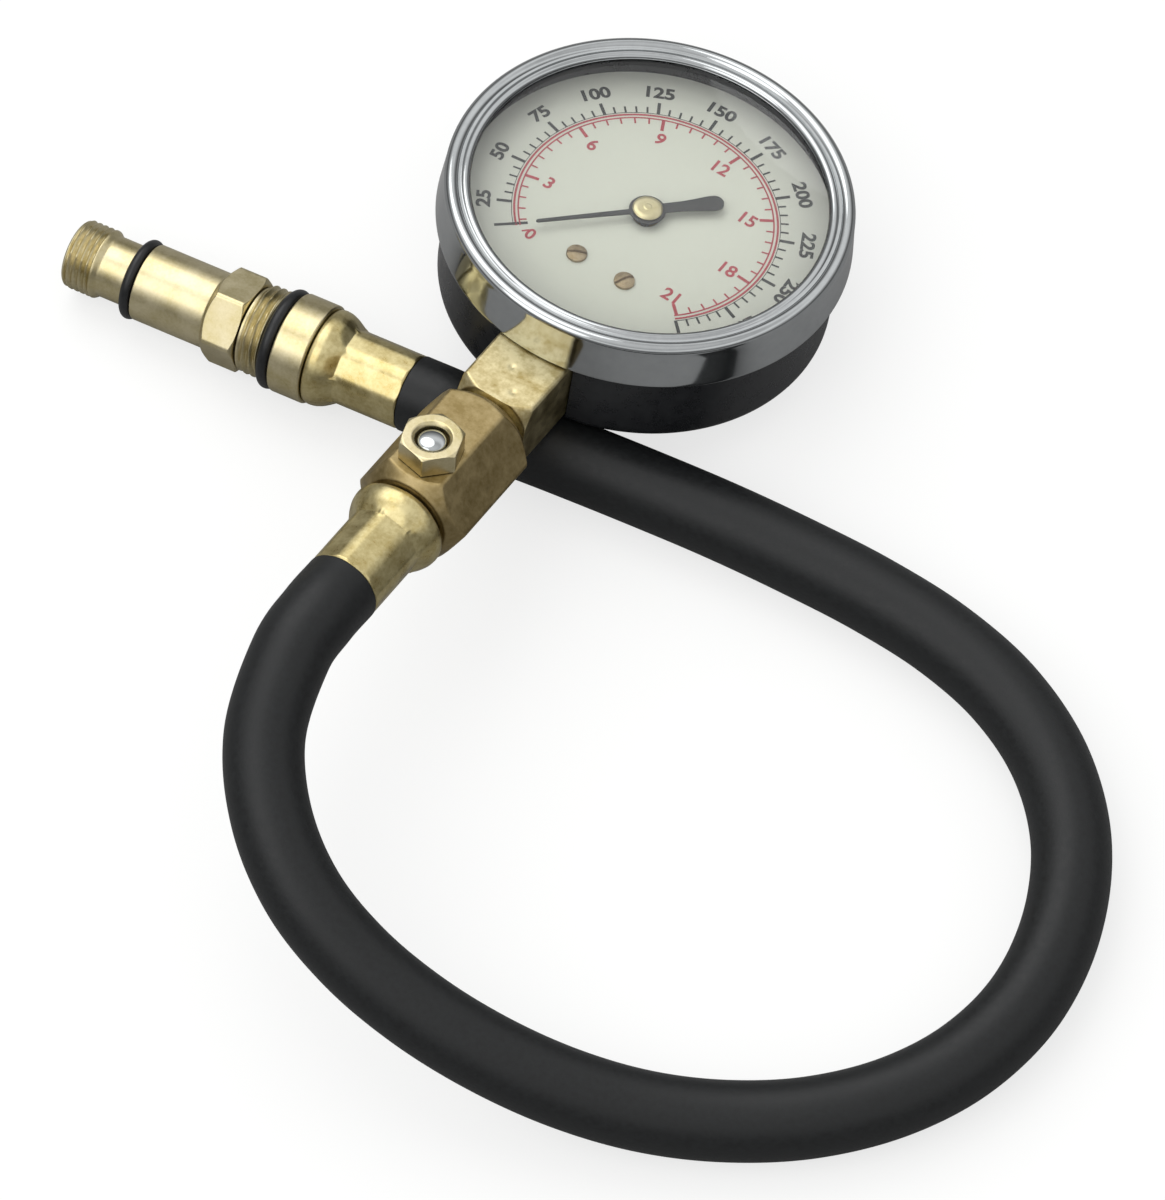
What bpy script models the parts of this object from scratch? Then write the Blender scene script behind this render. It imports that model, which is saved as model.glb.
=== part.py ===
"""Compression tester gauge: a dial gauge on a square brass stem, a tee block with a
release valve, a crimped rubber pressure hose and a spark-plug fitting with a 14 mm adapter.

Metres, +Z up. The gauge head and the block are modelled square to the dial and lean on the
hose: the back edge of the case at 12 o'clock stands on the table and the stem side is raised.
The origin is on the table, under the middle of the gauge head and block.
"""

import math

import bmesh
import bpy
from mathutils import Matrix, Vector

# How the gauge lies: it leans about X, with its stem side raised on the hose
LEAN = math.radians(12.5)
GAUGE_Y = 0.0180

# Running and seating gaps
SEAT_GAP = 0.0003
FIT_GAP = 0.0002

# Case: a pressed steel cup, measured from its back face along the dial's normal
CASE_RADIUS = 0.0380
CASE_WALL = 0.0010
CASE_CORNER = 0.0026
FLANGE_WIDTH = 0.0005
FLANGE_THICKNESS = 0.0008

# Bezel: a rolled ring that hooks round the case's rim and holds the lens
BEZEL_OVERHANG = 0.0020
BEZEL_RADIUS = CASE_RADIUS + BEZEL_OVERHANG
BEZEL_SHEET = 0.0007
BEZEL_BACK = 0.0170
BEZEL_TAPER = 0.0009
BEZEL_ROLL = 0.0008
BEZEL_FACE_WIDTH = 0.0058
WINDOW_RADIUS = BEZEL_RADIUS - BEZEL_FACE_WIDTH
LENS_THICKNESS = 0.0017
GASKET_THICKNESS = 0.0005
GASKET_WIDTH = 0.0024

# Bourdon tube: a flattened bronze tube bent round the movement, which is laid out by its radius
TUBE_RADIUS = CASE_RADIUS * 14 / 19
TUBE_WIDTH = 0.0024
TUBE_HEIGHT = 0.0090
TUBE_START = math.radians(262.0)
TUBE_END = math.radians(-23.5)
TIP_PIVOT_RADIUS = TUBE_RADIUS * 0.8036
TIP_LENGTH = 0.0030
TIP_MARGIN = 0.0006
LUG_THICKNESS = 0.0011
HAIRSPRING_RADIUS = 0.0052
HAIRSPRING_TURNS = 3.5
HAIRSPRING_STRIP = 0.00018
HAIRSPRING_HEIGHT = 0.0005

# Movement: two plates on the stem's seat, held apart by two pillars
PLATE_THICKNESS = 0.0010
BACK_PLATE_BOTTOM = 0.0073
PILLAR_LENGTH = 0.0054
FRONT_PLATE_BOTTOM = BACK_PLATE_BOTTOM + PLATE_THICKNESS + PILLAR_LENGTH
PLATE_HALF_WIDTH = 0.0076
PLATE_SHOULDER = 0.0020
PILLAR_X = TUBE_RADIUS * 0.1893
PILLAR_Y = -TUBE_RADIUS * 0.5714
PILLAR_RADIUS = TUBE_RADIUS * 0.05
PILLAR_TENON_RADIUS = 0.0010
DIAL_POST_RADIUS = 0.0019
ARBOR_RADIUS = 0.0007
COLLAR_RADIUS = 0.0015
MOVEMENT_SCREW_X = 0.0050
MOVEMENT_SCREW_Y = -TUBE_RADIUS * 0.8036
MOVEMENT_SCREW_RADIUS = 0.0007
MOVEMENT_SCREW_HEAD = 0.0009
MOVEMENT_SCREW_LENGTH = 0.0040

# Gears: the sector drives the pinion ten to one
PINION_TEETH = 10
SECTOR_TEETH = 100
PIVOT_DISTANCE = TUBE_RADIUS * 0.5304
TOOTH_MODULE = 2 * PIVOT_DISTANCE / (PINION_TEETH + SECTOR_TEETH)
TOOTH_SHARE = 0.36
ADDENDUM = 0.85
DEDENDUM = 1.20
POINTER_TRAVEL = math.radians(270.0)
SECTOR_STANDOFF = 0.0017
SECTOR_BOTTOM = BACK_PLATE_BOTTOM + PLATE_THICKNESS + SECTOR_STANDOFF
SECTOR_THICKNESS = 0.0010
SECTOR_RIM_WIDTH = 0.0022
TAIL_LENGTH = TUBE_RADIUS * 0.2321
TAIL_ANGLE = math.radians(-75.0)
EYE_RADIUS = 0.0015
EYE_HOLE_RADIUS = 0.00075
LINK_GAP = 0.0003
LINK_BOTTOM = SECTOR_BOTTOM + SECTOR_THICKNESS + LINK_GAP
LINK_THICKNESS = 0.0007
LINK_HALF_WIDTH = 0.0008
RIVET_HEAD = 0.0004

# Dial and pointer: the heights are stacked up from the movement's plates to the case's rim
DIAL_EDGE_GAP = 0.0014
DIAL_RADIUS = CASE_RADIUS - CASE_WALL - DIAL_EDGE_GAP
DIAL_THICKNESS = 0.0008
DIAL_POST_LENGTH = 0.0039
DIAL_TOP = FRONT_PLATE_BOTTOM + PLATE_THICKNESS + DIAL_POST_LENGTH + DIAL_THICKNESS
LENS_CLEARANCE = 0.0040
CASE_RIM = DIAL_TOP + LENS_CLEARANCE
DIAL_HOLE_RADIUS = 0.0026
DIAL_SCREW_RADIUS = 0.00195
DIAL_SCREW_HEIGHT = 0.0007
DIAL_SCREW_LENGTH = 0.0040
DIAL_SCREW_HOLE = 0.0011
SCREW_SLOT_HALF_WIDTH = 0.00030
POINTER_REST = math.radians(225.5)
POINTER_LENGTH = DIAL_RADIUS * 0.604
POINTER_TAIL = 0.0149
POINTER_THICKNESS = 0.0004
POINTER_CLEARANCE = 0.0015
POINTER_BOTTOM = DIAL_TOP + POINTER_CLEARANCE
POINTER_DISC_RADIUS = 0.0035
POINTER_ROOT_HALF_WIDTH = 0.00062
POINTER_POINT_HALF_WIDTH = 0.00030
POINTER_TAIL_HALF_WIDTH = 0.00175
HUB_RADIUS = 0.0029
HUB_HEIGHT = 0.0006
HUB_SLEEVE_RADIUS = 0.0016

# Stem: a square brass bar, its axis behind the dial; lengths from the dial's centre
AXIS_HEIGHT = 0.0091
STEM_SIDE = 0.0154
STEM_PROJECTION = 0.0150
STEM_END = CASE_RADIUS + STEM_PROJECTION
STEM_INNER_END = TUBE_RADIUS * 1.178
STEM_CROWN = 0.0026
STEM_TURNED_RADIUS = 0.0084
STEM_THREAD_RADIUS = 0.0068
STEM_THREAD_LENGTH = 0.0125
STEM_THREAD_END = STEM_END + STEM_THREAD_LENGTH
STEM_THREAD_DEPTH = 0.0007
SOCKET_HALF_WIDTH = 0.0080
SOCKET_TOP = 0.0150
SOCKET_END = TUBE_RADIUS * 0.893
SOCKET_LAP = 0.0006
SEAT_END = TUBE_RADIUS * 0.6786
CASE_SCREW_X = 0.0046
CASE_SCREW_Y = -TUBE_RADIUS * 1.125
CASE_SCREW_RADIUS = 0.0011
CASE_SCREW_LENGTH = 0.0067
CASE_SCREW_HEAD_RADIUS = 0.0020
CASE_SCREW_SUNK = 0.0001
CASE_SCREW_SLOT_DEPTH = 0.0004
TAP_MARGIN = 0.0005
GAS_BORE_RADIUS = 0.0015

# Tee block: a hexagon bar with turned ends, turned about the stem's axis
BLOCK_TURN = math.radians(4.0)
BLOCK_FLATS = 0.0206
BLOCK_STANDOFF = 0.0020
BLOCK_START = STEM_END + BLOCK_STANDOFF
BLOCK_LENGTH = 0.0268
BLOCK_END = BLOCK_START + BLOCK_LENGTH
BLOCK_TURNED_RADIUS = 0.0090
BLOCK_CHAMFER = 0.0034
PORT_RADIUS = 0.0071
PORT_DEPTH = 0.0110
HOSE_PORT_DEPTH = 0.0045
PASSAGE_RADIUS = 0.0025

# Release valve on the block's front
VALVE_DISTANCE = 0.0185
VALVE_PLACE = BLOCK_START + VALVE_DISTANCE
VALVE_TURN = math.radians(-14.0)
VALVE_HEX = 0.0110
VALVE_HEX_HEIGHT = 0.0045
HEX_LAP = 0.0010
HEX_CHAMFER = 0.0006
VALVE_SHANK_RADIUS = 0.0042
VALVE_SHANK_LENGTH = 0.0030
VALVE_MOUTH_RADIUS = 0.0033
VALVE_MOUTH_DEPTH = 0.0050
VALVE_CHAMBER_RADIUS = 0.0029
BUTTON_RADIUS = 0.0029
BUTTON_STEM_RADIUS = 0.0011
BUTTON_TRAVEL = 0.0018
BUTTON_SUNK = 0.0003
BUTTON_FOOT = 0.0006
SEAL_LENGTH = 0.0009
SPRING_ROOM = 0.0006
RELEASE_WIRE = 0.00025
RELEASE_SPRING_RADIUS = 0.0021

# Hose and its crimped ferrules
HOSE_RADIUS = 0.00755
FERRULE_LENGTH = 0.0192
FERRULE_BASE_RADIUS = 0.0097
FERRULE_RADIUS = 0.00755
FERRULE_FLATS = 0.0147
FERRULE_BASE_LENGTH = 0.0045
FERRULE_WALL = 0.0010
JAW_START = 0.0014
NIPPLE_NECK_RADIUS = 0.0064
NIPPLE_FLANGE_RADIUS = 0.0079
NIPPLE_FLANGE_LENGTH = 0.0010
NIPPLE_THREAD_RADIUS = 0.0067
BARB_RADIUS = 0.0036
BARB_RIDGE = 0.0006
BARB_RIDGES = 3

# Plug end: lengths along its axis from the 14 mm tip
FITTING_TIP = (-0.0932, -0.0347, 0.0076)
FITTING_YAW = math.radians(5.9)
FITTING_RISE = math.radians(3.7)
TIP_THREAD_RADIUS = 0.00695
TIP_THREAD_LENGTH = 0.0064
TIP_CHAMFER = 0.0007
TIP_NECK_RADIUS = 0.00615
ADAPTER_SHOULDER = 0.0156
ADAPTER_RADIUS = 0.0077
HEX_START = 0.0311
HEX_END = 0.0388
ADAPTER_HEX = 0.0170
ADAPTER_HEX_TURN = math.radians(8.0)
STUB_RADIUS = 0.0050
STUB_LENGTH = 0.0075
PLUG_THREAD_RADIUS = 0.00895
PLUG_THREAD_END = 0.0440
COLLAR_START = 0.0468
COLLAR_END = 0.0537
COLLAR_BAND_RADIUS = 0.0100
SMALL_RING_RADIUS = 0.0081
SMALL_RING_WIRE = 0.0011
LARGE_RING_RADIUS = 0.0101
LARGE_RING_WIRE = 0.0013
GROOVE_DEPTH = 0.0002
CORE_RADIUS = 0.0026
CORE_START = 0.0025
CORE_LENGTH = 0.0100
CORE_PIN_RADIUS = 0.0007
CORE_TRAVEL = 0.0015
CORE_WIRE = 0.00018
CORE_SPRING_RADIUS = 0.0012

# The hose's route from the gauge-end ferrule to the plug-end ferrule
HOSE_ROUTE = [
    (0.0003, -0.0976, 0.0402),
    (0.0047, -0.1126, 0.0374),
    (0.0139, -0.1243, 0.0336),
    (0.0259, -0.1322, 0.0291),
    (0.0396, -0.1361, 0.0245),
    (0.0542, -0.1370, 0.0200),
    (0.0690, -0.1356, 0.0158),
    (0.0835, -0.1323, 0.0121),
    (0.0975, -0.1271, 0.0093),
    (0.1108, -0.1199, 0.0079),
    (0.1232, -0.1107, 0.0077),
    (0.1336, -0.0989, 0.0077),
    (0.1406, -0.0851, 0.0077),
    (0.1433, -0.0694, 0.0077),
    (0.1407, -0.0529, 0.0077),
    (0.1332, -0.0375, 0.0077),
    (0.1214, -0.0256, 0.0077),
    (0.1067, -0.0180, 0.0077),
    (0.0908, -0.0145, 0.0077),
    (0.0743, -0.0138, 0.0077),
    (0.0579, -0.0147, 0.0078),
    (0.0420, -0.0163, 0.0081),
    (0.0262, -0.0185, 0.0083),
    (0.0107, -0.0211, 0.0088),
    (-0.0048, -0.0242, 0.0099),
]
HOSE_LEAD = 0.0080
HOSE_POINTS = 60

# Facets
ROUND_STEPS = 36
FITTING_STEPS = 20
HIDDEN_STEPS = 16
SMALL_STEPS = 12
RING_SIDES = 8
SMOOTH_ANGLE = math.radians(35.0)
MERGE_DISTANCE = 0.00001

BRASS = ("brass", (0.72, 0.53, 0.24), 1.0, 0.30)
CHROME = ("chrome", (0.80, 0.80, 0.82), 1.0, 0.10)
BLACK_PAINT = ("black_paint", (0.02, 0.02, 0.02), 0.0, 0.35)
GLASS = ("lens_glass", (0.95, 0.97, 0.96), 0.0, 0.05)
DIAL_PAINT = ("dial_paint", (0.80, 0.80, 0.76), 0.0, 0.45)
POINTER_PAINT = ("pointer_paint", (0.03, 0.03, 0.03), 0.0, 0.45)
RUBBER = ("rubber", (0.03, 0.03, 0.03), 0.0, 0.60)
STEEL = ("steel", (0.55, 0.56, 0.57), 1.0, 0.30)
BRONZE = ("bronze", (0.60, 0.38, 0.20), 1.0, 0.35)


def clear_scene():
    """Removes the objects that the file starts with."""
    for obj in list(bpy.data.objects):
        bpy.data.objects.remove(obj, do_unlink=True)


def collection_of(name):
    """A collection of that name in the scene."""
    group = bpy.data.collections.get(name)
    if group is None:
        group = bpy.data.collections.new(name)
        bpy.context.scene.collection.children.link(group)
    return group


def material_of(recipe):
    """A Principled material for a recipe of name, colour, metallic value and roughness."""
    name, color, metallic, roughness = recipe
    material = bpy.data.materials.get(name)
    if material is None:
        material = bpy.data.materials.new(name)
        material.use_nodes = True
        shader = material.node_tree.nodes["Principled BSDF"]
        shader.inputs["Base Color"].default_value = (*color, 1.0)
        shader.inputs["Metallic"].default_value = metallic
        shader.inputs["Roughness"].default_value = roughness
    return material


def place(name, data, parent, recipe=None):
    """Puts data into the scene under a parent: a part if it has a recipe, otherwise a cutter."""
    obj = bpy.data.objects.new(name, data)
    obj.parent = parent
    if recipe is None:
        collection_of("cutters").objects.link(obj)
        obj.hide_render = True
        obj.display_type = "WIRE"
    else:
        collection_of("compression_tester").objects.link(obj)
        data.materials.append(material_of(recipe))
    return obj


def empty(name, parent=None, location=(0.0, 0.0, 0.0), rotation=(0.0, 0.0, 0.0)):
    """A frame that pieces are placed in."""
    obj = bpy.data.objects.new(name, None)
    obj.parent = parent
    obj.location = location
    obj.rotation_euler = rotation
    collection_of("compression_tester").objects.link(obj)
    return obj


def turned(name, profile, parent, recipe=None, steps=FITTING_STEPS):
    """A turned solid: (radius, height) points down the outer side, spun about the frame's Z."""
    mesh = bpy.data.meshes.new(name)
    count = len(profile)
    closed = profile[0][0] > 0.0
    edges = [(i, (i + 1) % count) for i in range(count if closed else count - 1)]
    mesh.from_pydata([(r, 0.0, z) for r, z in profile], edges, [])
    obj = place(name, mesh, parent, recipe)
    screw = obj.modifiers.new("turn", "SCREW")
    screw.steps = steps
    screw.render_steps = steps
    screw.use_merge_vertices = True
    screw.merge_threshold = MERGE_DISTANCE
    return obj


def rod(name, radius, bottom, top, parent, recipe=None, steps=SMALL_STEPS):
    """A plain round rod from bottom to top."""
    return turned(name, [(0.0, top), (radius, top), (radius, bottom), (0.0, bottom)], parent, recipe, steps)


def box(name, low, high, parent, recipe=None):
    """A box between two corners."""
    mesh = bpy.data.meshes.new(name)
    shape = bmesh.new()
    size = [high[i] - low[i] for i in range(3)]
    middle = [(high[i] + low[i]) / 2 for i in range(3)]
    matrix = Matrix.Translation(middle) @ Matrix.Diagonal((*size, 1.0))
    bmesh.ops.create_cube(shape, size=1.0, matrix=matrix)
    shape.to_mesh(mesh)
    shape.free()
    return place(name, mesh, parent, recipe)


def prism(name, sides, across_flats, bottom, top, parent, recipe=None, turn=0.0):
    """A prism with regular sides about the frame's Z, its first corner turned from X."""
    mesh = bpy.data.meshes.new(name)
    shape = bmesh.new()
    radius = across_flats / 2 / math.cos(math.pi / sides)
    matrix = Matrix.Translation((0.0, 0.0, (bottom + top) / 2)) @ Matrix.Rotation(turn - math.pi / 2, 4, "Z")
    bmesh.ops.create_cone(shape, cap_ends=True, segments=sides, radius1=radius, radius2=radius,
                          depth=top - bottom, matrix=matrix)
    shape.to_mesh(mesh)
    shape.free()
    return place(name, mesh, parent, recipe)


def ring_points(radius, centre=(0.0, 0.0), count=SMALL_STEPS):
    """Points round a circle."""
    angles = [2 * math.pi * i / count for i in range(count)]
    return [(centre[0] + radius * math.cos(a), centre[1] + radius * math.sin(a)) for a in angles]


def arc_points(radius, start, end, count, centre=(0.0, 0.0)):
    """Points along an arc, both ends included."""
    angles = [start + (end - start) * i / (count - 1) for i in range(count)]
    return [(centre[0] + radius * math.cos(a), centre[1] + radius * math.sin(a)) for a in angles]


def polar(radius, angle, centre=(0.0, 0.0)):
    """The point at a radius and an angle."""
    return (centre[0] + radius * math.cos(angle), centre[1] + radius * math.sin(angle))


def settled(obj):
    """Gives an object its evaluated mesh, welded, facing out and shaded smooth by angle."""
    bpy.context.view_layer.update()
    graph = bpy.context.evaluated_depsgraph_get()
    mesh = bpy.data.meshes.new_from_object(obj.evaluated_get(graph))
    shape = bmesh.new()
    shape.from_mesh(mesh)
    bmesh.ops.remove_doubles(shape, verts=shape.verts, dist=MERGE_DISTANCE / 10)
    bmesh.ops.recalc_face_normals(shape, faces=shape.faces)
    shape.to_mesh(mesh)
    shape.free()
    mesh.shade_smooth()
    mesh.set_sharp_from_angle(angle=SMOOTH_ANGLE)
    return mesh


def plate(name, outlines, bottom, thickness, parent, recipe=None):
    """A flat plate: the first outline, less the holes that the others give."""
    curve = bpy.data.curves.new(name, "CURVE")
    curve.dimensions = "2D"
    curve.fill_mode = "BOTH"
    curve.extrude = thickness / 2
    for outline in outlines:
        spline = curve.splines.new("POLY")
        spline.points.add(len(outline) - 1)
        for point, (x, y) in zip(spline.points, outline):
            point.co = (x, y, 0.0, 1.0)
        spline.use_cyclic_u = True
    flat = place(name + "_outline", curve, parent)
    mesh = settled(flat)
    mesh.transform(Matrix.Translation((0.0, 0.0, bottom + thickness / 2)))
    bpy.data.objects.remove(flat, do_unlink=True)
    return place(name, mesh, parent, recipe)


def wire(name, points, radius, parent, recipe, resolution=1):
    """A round wire or tube along points, with closed ends."""
    curve = bpy.data.curves.new(name, "CURVE")
    curve.dimensions = "3D"
    curve.bevel_depth = radius
    curve.bevel_resolution = resolution
    curve.use_fill_caps = True
    spline = curve.splines.new("POLY")
    spline.points.add(len(points) - 1)
    for point, co in zip(spline.points, points):
        point.co = (*co, 1.0)
    return place(name, curve, parent, recipe)


def helix(radius, bottom, top, turns, per_turn=8):
    """Points along a coil about the frame's Z."""
    count = round(turns * per_turn)
    return [(radius * math.cos(2 * math.pi * turns * i / count),
             radius * math.sin(2 * math.pi * turns * i / count),
             bottom + (top - bottom) * i / count) for i in range(count + 1)]


def change(target, tool, operation="DIFFERENCE"):
    """Cuts a target with a tool, joins them or keeps what they share."""
    step = target.modifiers.new(operation.lower(), "BOOLEAN")
    step.operation = operation
    step.object = tool


def apply_modifiers():
    """Applies every part's modifiers, shades the round pieces smooth and drops the cutters."""
    parts = [o for o in collection_of("compression_tester").objects if o.type == "MESH"]
    meshes = {o: settled(o) for o in parts}
    for obj, mesh in meshes.items():
        obj.modifiers.clear()
        obj.data = mesh
    for obj in list(collection_of("cutters").objects):
        bpy.data.objects.remove(obj, do_unlink=True)


def lens_bottom():
    """The height of the lens's back, on its gasket on the case's rim."""
    return CASE_RIM + FIT_GAP + GASKET_THICKNESS + FIT_GAP


def sector_pivot():
    """Where the sector's arbor stands, straight below the pinion."""
    return (0.0, -PIVOT_DISTANCE)


def tip_angle():
    """The polar angle of the tube's tip, just past the tube's end."""
    return TUBE_END - (FIT_GAP + TIP_LENGTH / 2) / TUBE_RADIUS


def add_case(gauge):
    """The pressed cup with its turned-out rim, a slot for the stem and two countersunk holes."""
    corner = CASE_CORNER
    inner = CASE_RADIUS - CASE_WALL
    flange = CASE_RADIUS + FLANGE_WIDTH
    inner_corner = corner - CASE_WALL
    inside = arc_points(inner_corner, -math.pi / 2, 0.0, 4, (inner - inner_corner, CASE_WALL + inner_corner))
    outside = arc_points(corner, 0.0, -math.pi / 2, 5, (CASE_RADIUS - corner, corner))
    profile = [(0.0, CASE_WALL)] + inside + [
        (inner, CASE_RIM),
        (flange, CASE_RIM),
        (flange, CASE_RIM - FLANGE_THICKNESS),
        (CASE_RADIUS, CASE_RIM - FLANGE_THICKNESS),
    ] + outside + [(0.0, 0.0)]
    case = turned("case", profile, gauge, BLACK_PAINT, ROUND_STEPS)
    half = STEM_SIDE / 2 + SEAT_GAP
    slot = box("stem_slot", (-half, -CASE_RADIUS * 1.1, AXIS_HEIGHT - half),
               (half, -STEM_INNER_END, AXIS_HEIGHT + half), gauge)
    change(case, slot)
    for side in (-1, 1):
        hole = turned("case_screw_hole", [
            (0.0, 2 * CASE_WALL),
            (CASE_SCREW_RADIUS + SEAT_GAP, 2 * CASE_WALL),
            (CASE_SCREW_RADIUS + SEAT_GAP, CASE_WALL - CASE_SCREW_SUNK),
            (CASE_SCREW_HEAD_RADIUS + SEAT_GAP, 0.0),
            (CASE_SCREW_HEAD_RADIUS + SEAT_GAP, -CASE_WALL),
            (0.0, -CASE_WALL),
        ], gauge, steps=SMALL_STEPS)
        hole.location = (side * CASE_SCREW_X, CASE_SCREW_Y, 0.0)
        change(case, hole)
    return case


def add_bezel(gauge):
    """The rolled ring: a double roll round the window, a tapered side and a hooked back edge."""
    top = lens_bottom() + LENS_THICKNESS + FIT_GAP
    hook = CASE_RADIUS + FIT_GAP
    roll = BEZEL_ROLL
    crown = (BEZEL_RADIUS - BEZEL_TAPER - roll, top + roll / 2)
    small = roll * 0.85
    lip = (WINDOW_RADIUS + small, top + roll / 4)
    profile = [(WINDOW_RADIUS, lip[1])]
    profile += arc_points(small, math.radians(150), math.radians(20), 4, lip)
    profile += arc_points(roll, math.radians(135), 0.0, 6, crown)
    profile += [
        (BEZEL_RADIUS, BEZEL_BACK + BEZEL_SHEET),
        (BEZEL_RADIUS - BEZEL_SHEET / 2, BEZEL_BACK),
        (hook, BEZEL_BACK),
        (hook, BEZEL_BACK + BEZEL_SHEET),
        (BEZEL_RADIUS - BEZEL_SHEET, BEZEL_BACK + BEZEL_SHEET),
        (BEZEL_RADIUS - BEZEL_TAPER - BEZEL_SHEET, top),
        (WINDOW_RADIUS, top),
    ]
    turned("bezel", profile, gauge, CHROME, ROUND_STEPS)


def add_lens(gauge):
    """The flat lens and the gasket that it sits on."""
    radius = BEZEL_RADIUS - BEZEL_TAPER - BEZEL_SHEET - SEAT_GAP
    rod("lens", radius, lens_bottom(), lens_bottom() + LENS_THICKNESS, gauge, GLASS, ROUND_STEPS)
    outer = CASE_RADIUS + FLANGE_WIDTH
    bottom = CASE_RIM + FIT_GAP
    top = bottom + GASKET_THICKNESS
    profile = [(outer - GASKET_WIDTH, top), (outer, top), (outer, bottom), (outer - GASKET_WIDTH, bottom)]
    turned("lens_gasket", profile, gauge, RUBBER, ROUND_STEPS)


def add_dial(gauge):
    """The dial plate, with a hole for the arbor, and the two screws that hold it to its posts."""
    holes = [ring_points(DIAL_HOLE_RADIUS)]
    for side in (-1, 1):
        holes.append(ring_points(DIAL_SCREW_HOLE, (side * PILLAR_X, PILLAR_Y)))
    outline = ring_points(DIAL_RADIUS, count=ROUND_STEPS)
    plate("dial", [outline] + holes, DIAL_TOP - DIAL_THICKNESS, DIAL_THICKNESS, gauge, DIAL_PAINT)
    for side, word in ((-1, "left"), (1, "right")):
        head, low = DIAL_SCREW_RADIUS, DIAL_TOP + FIT_GAP
        shank = PILLAR_TENON_RADIUS / 2
        profile = [
            (0.0, low + DIAL_SCREW_HEIGHT),
            (head * 0.6, low + DIAL_SCREW_HEIGHT * 0.85),
            (head * 0.92, low + DIAL_SCREW_HEIGHT * 0.45),
            (head, low),
            (shank, low),
            (shank, DIAL_TOP - DIAL_SCREW_LENGTH),
            (0.0, DIAL_TOP - DIAL_SCREW_LENGTH),
        ]
        screw = turned("dial_screw_" + word, profile, gauge, BRASS, SMALL_STEPS)
        screw.location = (side * PILLAR_X, PILLAR_Y, 0.0)
        slot = box("dial_screw_slot", (-head, -SCREW_SLOT_HALF_WIDTH, low + DIAL_SCREW_HEIGHT * 0.4),
                   (head, SCREW_SLOT_HALF_WIDTH, low + DIAL_SCREW_HEIGHT * 2), screw)
        change(screw, slot)


def add_pointer(gauge):
    """The pointer with its paddle tail, its hub, and the arbor with the pinion cut on it."""
    rest = POINTER_REST
    def along(distance, aside):
        x = distance * math.cos(rest) - aside * math.sin(rest)
        y = distance * math.sin(rest) + aside * math.cos(rest)
        return (x, y)
    disc = POINTER_DISC_RADIUS
    needle = [along(distance, aside) for distance, aside in (
        (disc * 0.97, -POINTER_ROOT_HALF_WIDTH), (POINTER_LENGTH * 0.97, -POINTER_POINT_HALF_WIDTH),
        (POINTER_LENGTH, 0.0), (POINTER_LENGTH * 0.97, POINTER_POINT_HALF_WIDTH),
        (disc * 0.97, POINTER_ROOT_HALF_WIDTH))]
    first_side = arc_points(disc, rest + 0.35, rest + math.pi - 0.35, 9)
    paddle = [(disc * 0.97, 0.62), (POINTER_TAIL * 0.48, 0.64), (POINTER_TAIL * 0.66, 0.82),
              (POINTER_TAIL * 0.86, 1.0), (POINTER_TAIL * 0.95, 0.94), (POINTER_TAIL, 0.0)]
    tail = [along(-distance, share * POINTER_TAIL_HALF_WIDTH) for distance, share in paddle]
    tail += [along(-distance, -share * POINTER_TAIL_HALF_WIDTH) for distance, share in paddle[-2::-1]]
    second_side = arc_points(disc, rest + math.pi + 0.35, rest + 2 * math.pi - 0.35, 9)
    hole = ring_points(HUB_SLEEVE_RADIUS + FIT_GAP)
    plate("pointer", [needle + first_side + tail + second_side, hole], POINTER_BOTTOM,
          POINTER_THICKNESS, gauge, POINTER_PAINT)

    seat = POINTER_BOTTOM + POINTER_THICKNESS + FIT_GAP
    top = seat + HUB_HEIGHT
    bore = ARBOR_RADIUS + FIT_GAP
    arbor_top = seat + FIT_GAP
    skirt = DIAL_TOP + 3 * FIT_GAP
    hub = [
        (0.0, top),
        (HUB_RADIUS * 0.72, top),
        (HUB_RADIUS * 0.93, top - HUB_HEIGHT * 0.3),
        (HUB_RADIUS, top - HUB_HEIGHT * 0.7),
        (HUB_RADIUS, seat),
        (HUB_SLEEVE_RADIUS, seat),
        (HUB_SLEEVE_RADIUS, skirt),
        (bore, skirt),
        (bore, arbor_top + FIT_GAP),
        (0.0, arbor_top + FIT_GAP),
    ]
    turned("pointer_hub", hub, gauge, BRASS, FITTING_STEPS)

    collet_top = FRONT_PLATE_BOTTOM - FIT_GAP
    collet_bottom = collet_top - HAIRSPRING_HEIGHT - FIT_GAP
    pinion_bottom = SECTOR_BOTTOM - SECTOR_THICKNESS / 2
    pinion_top = SECTOR_BOTTOM + 2 * SECTOR_THICKNESS
    shaft = [
        (0.0, arbor_top),
        (ARBOR_RADIUS, arbor_top),
        (ARBOR_RADIUS, collet_top),
        (COLLAR_RADIUS, collet_top),
        (COLLAR_RADIUS, collet_bottom),
        (ARBOR_RADIUS, collet_bottom),
        (ARBOR_RADIUS, BACK_PLATE_BOTTOM + FIT_GAP),
        (0.0, BACK_PLATE_BOTTOM + FIT_GAP),
    ]
    arbor = turned("pinion_arbor", shaft, gauge, STEEL, SMALL_STEPS)
    outline = gear_outline(PINION_TEETH, range(PINION_TEETH), (0.0, 0.0),
                           math.radians(-90) + math.pi / PINION_TEETH)
    teeth = plate("pinion_teeth", [outline], pinion_bottom, pinion_top - pinion_bottom, gauge)
    change(arbor, teeth, "UNION")


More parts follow.
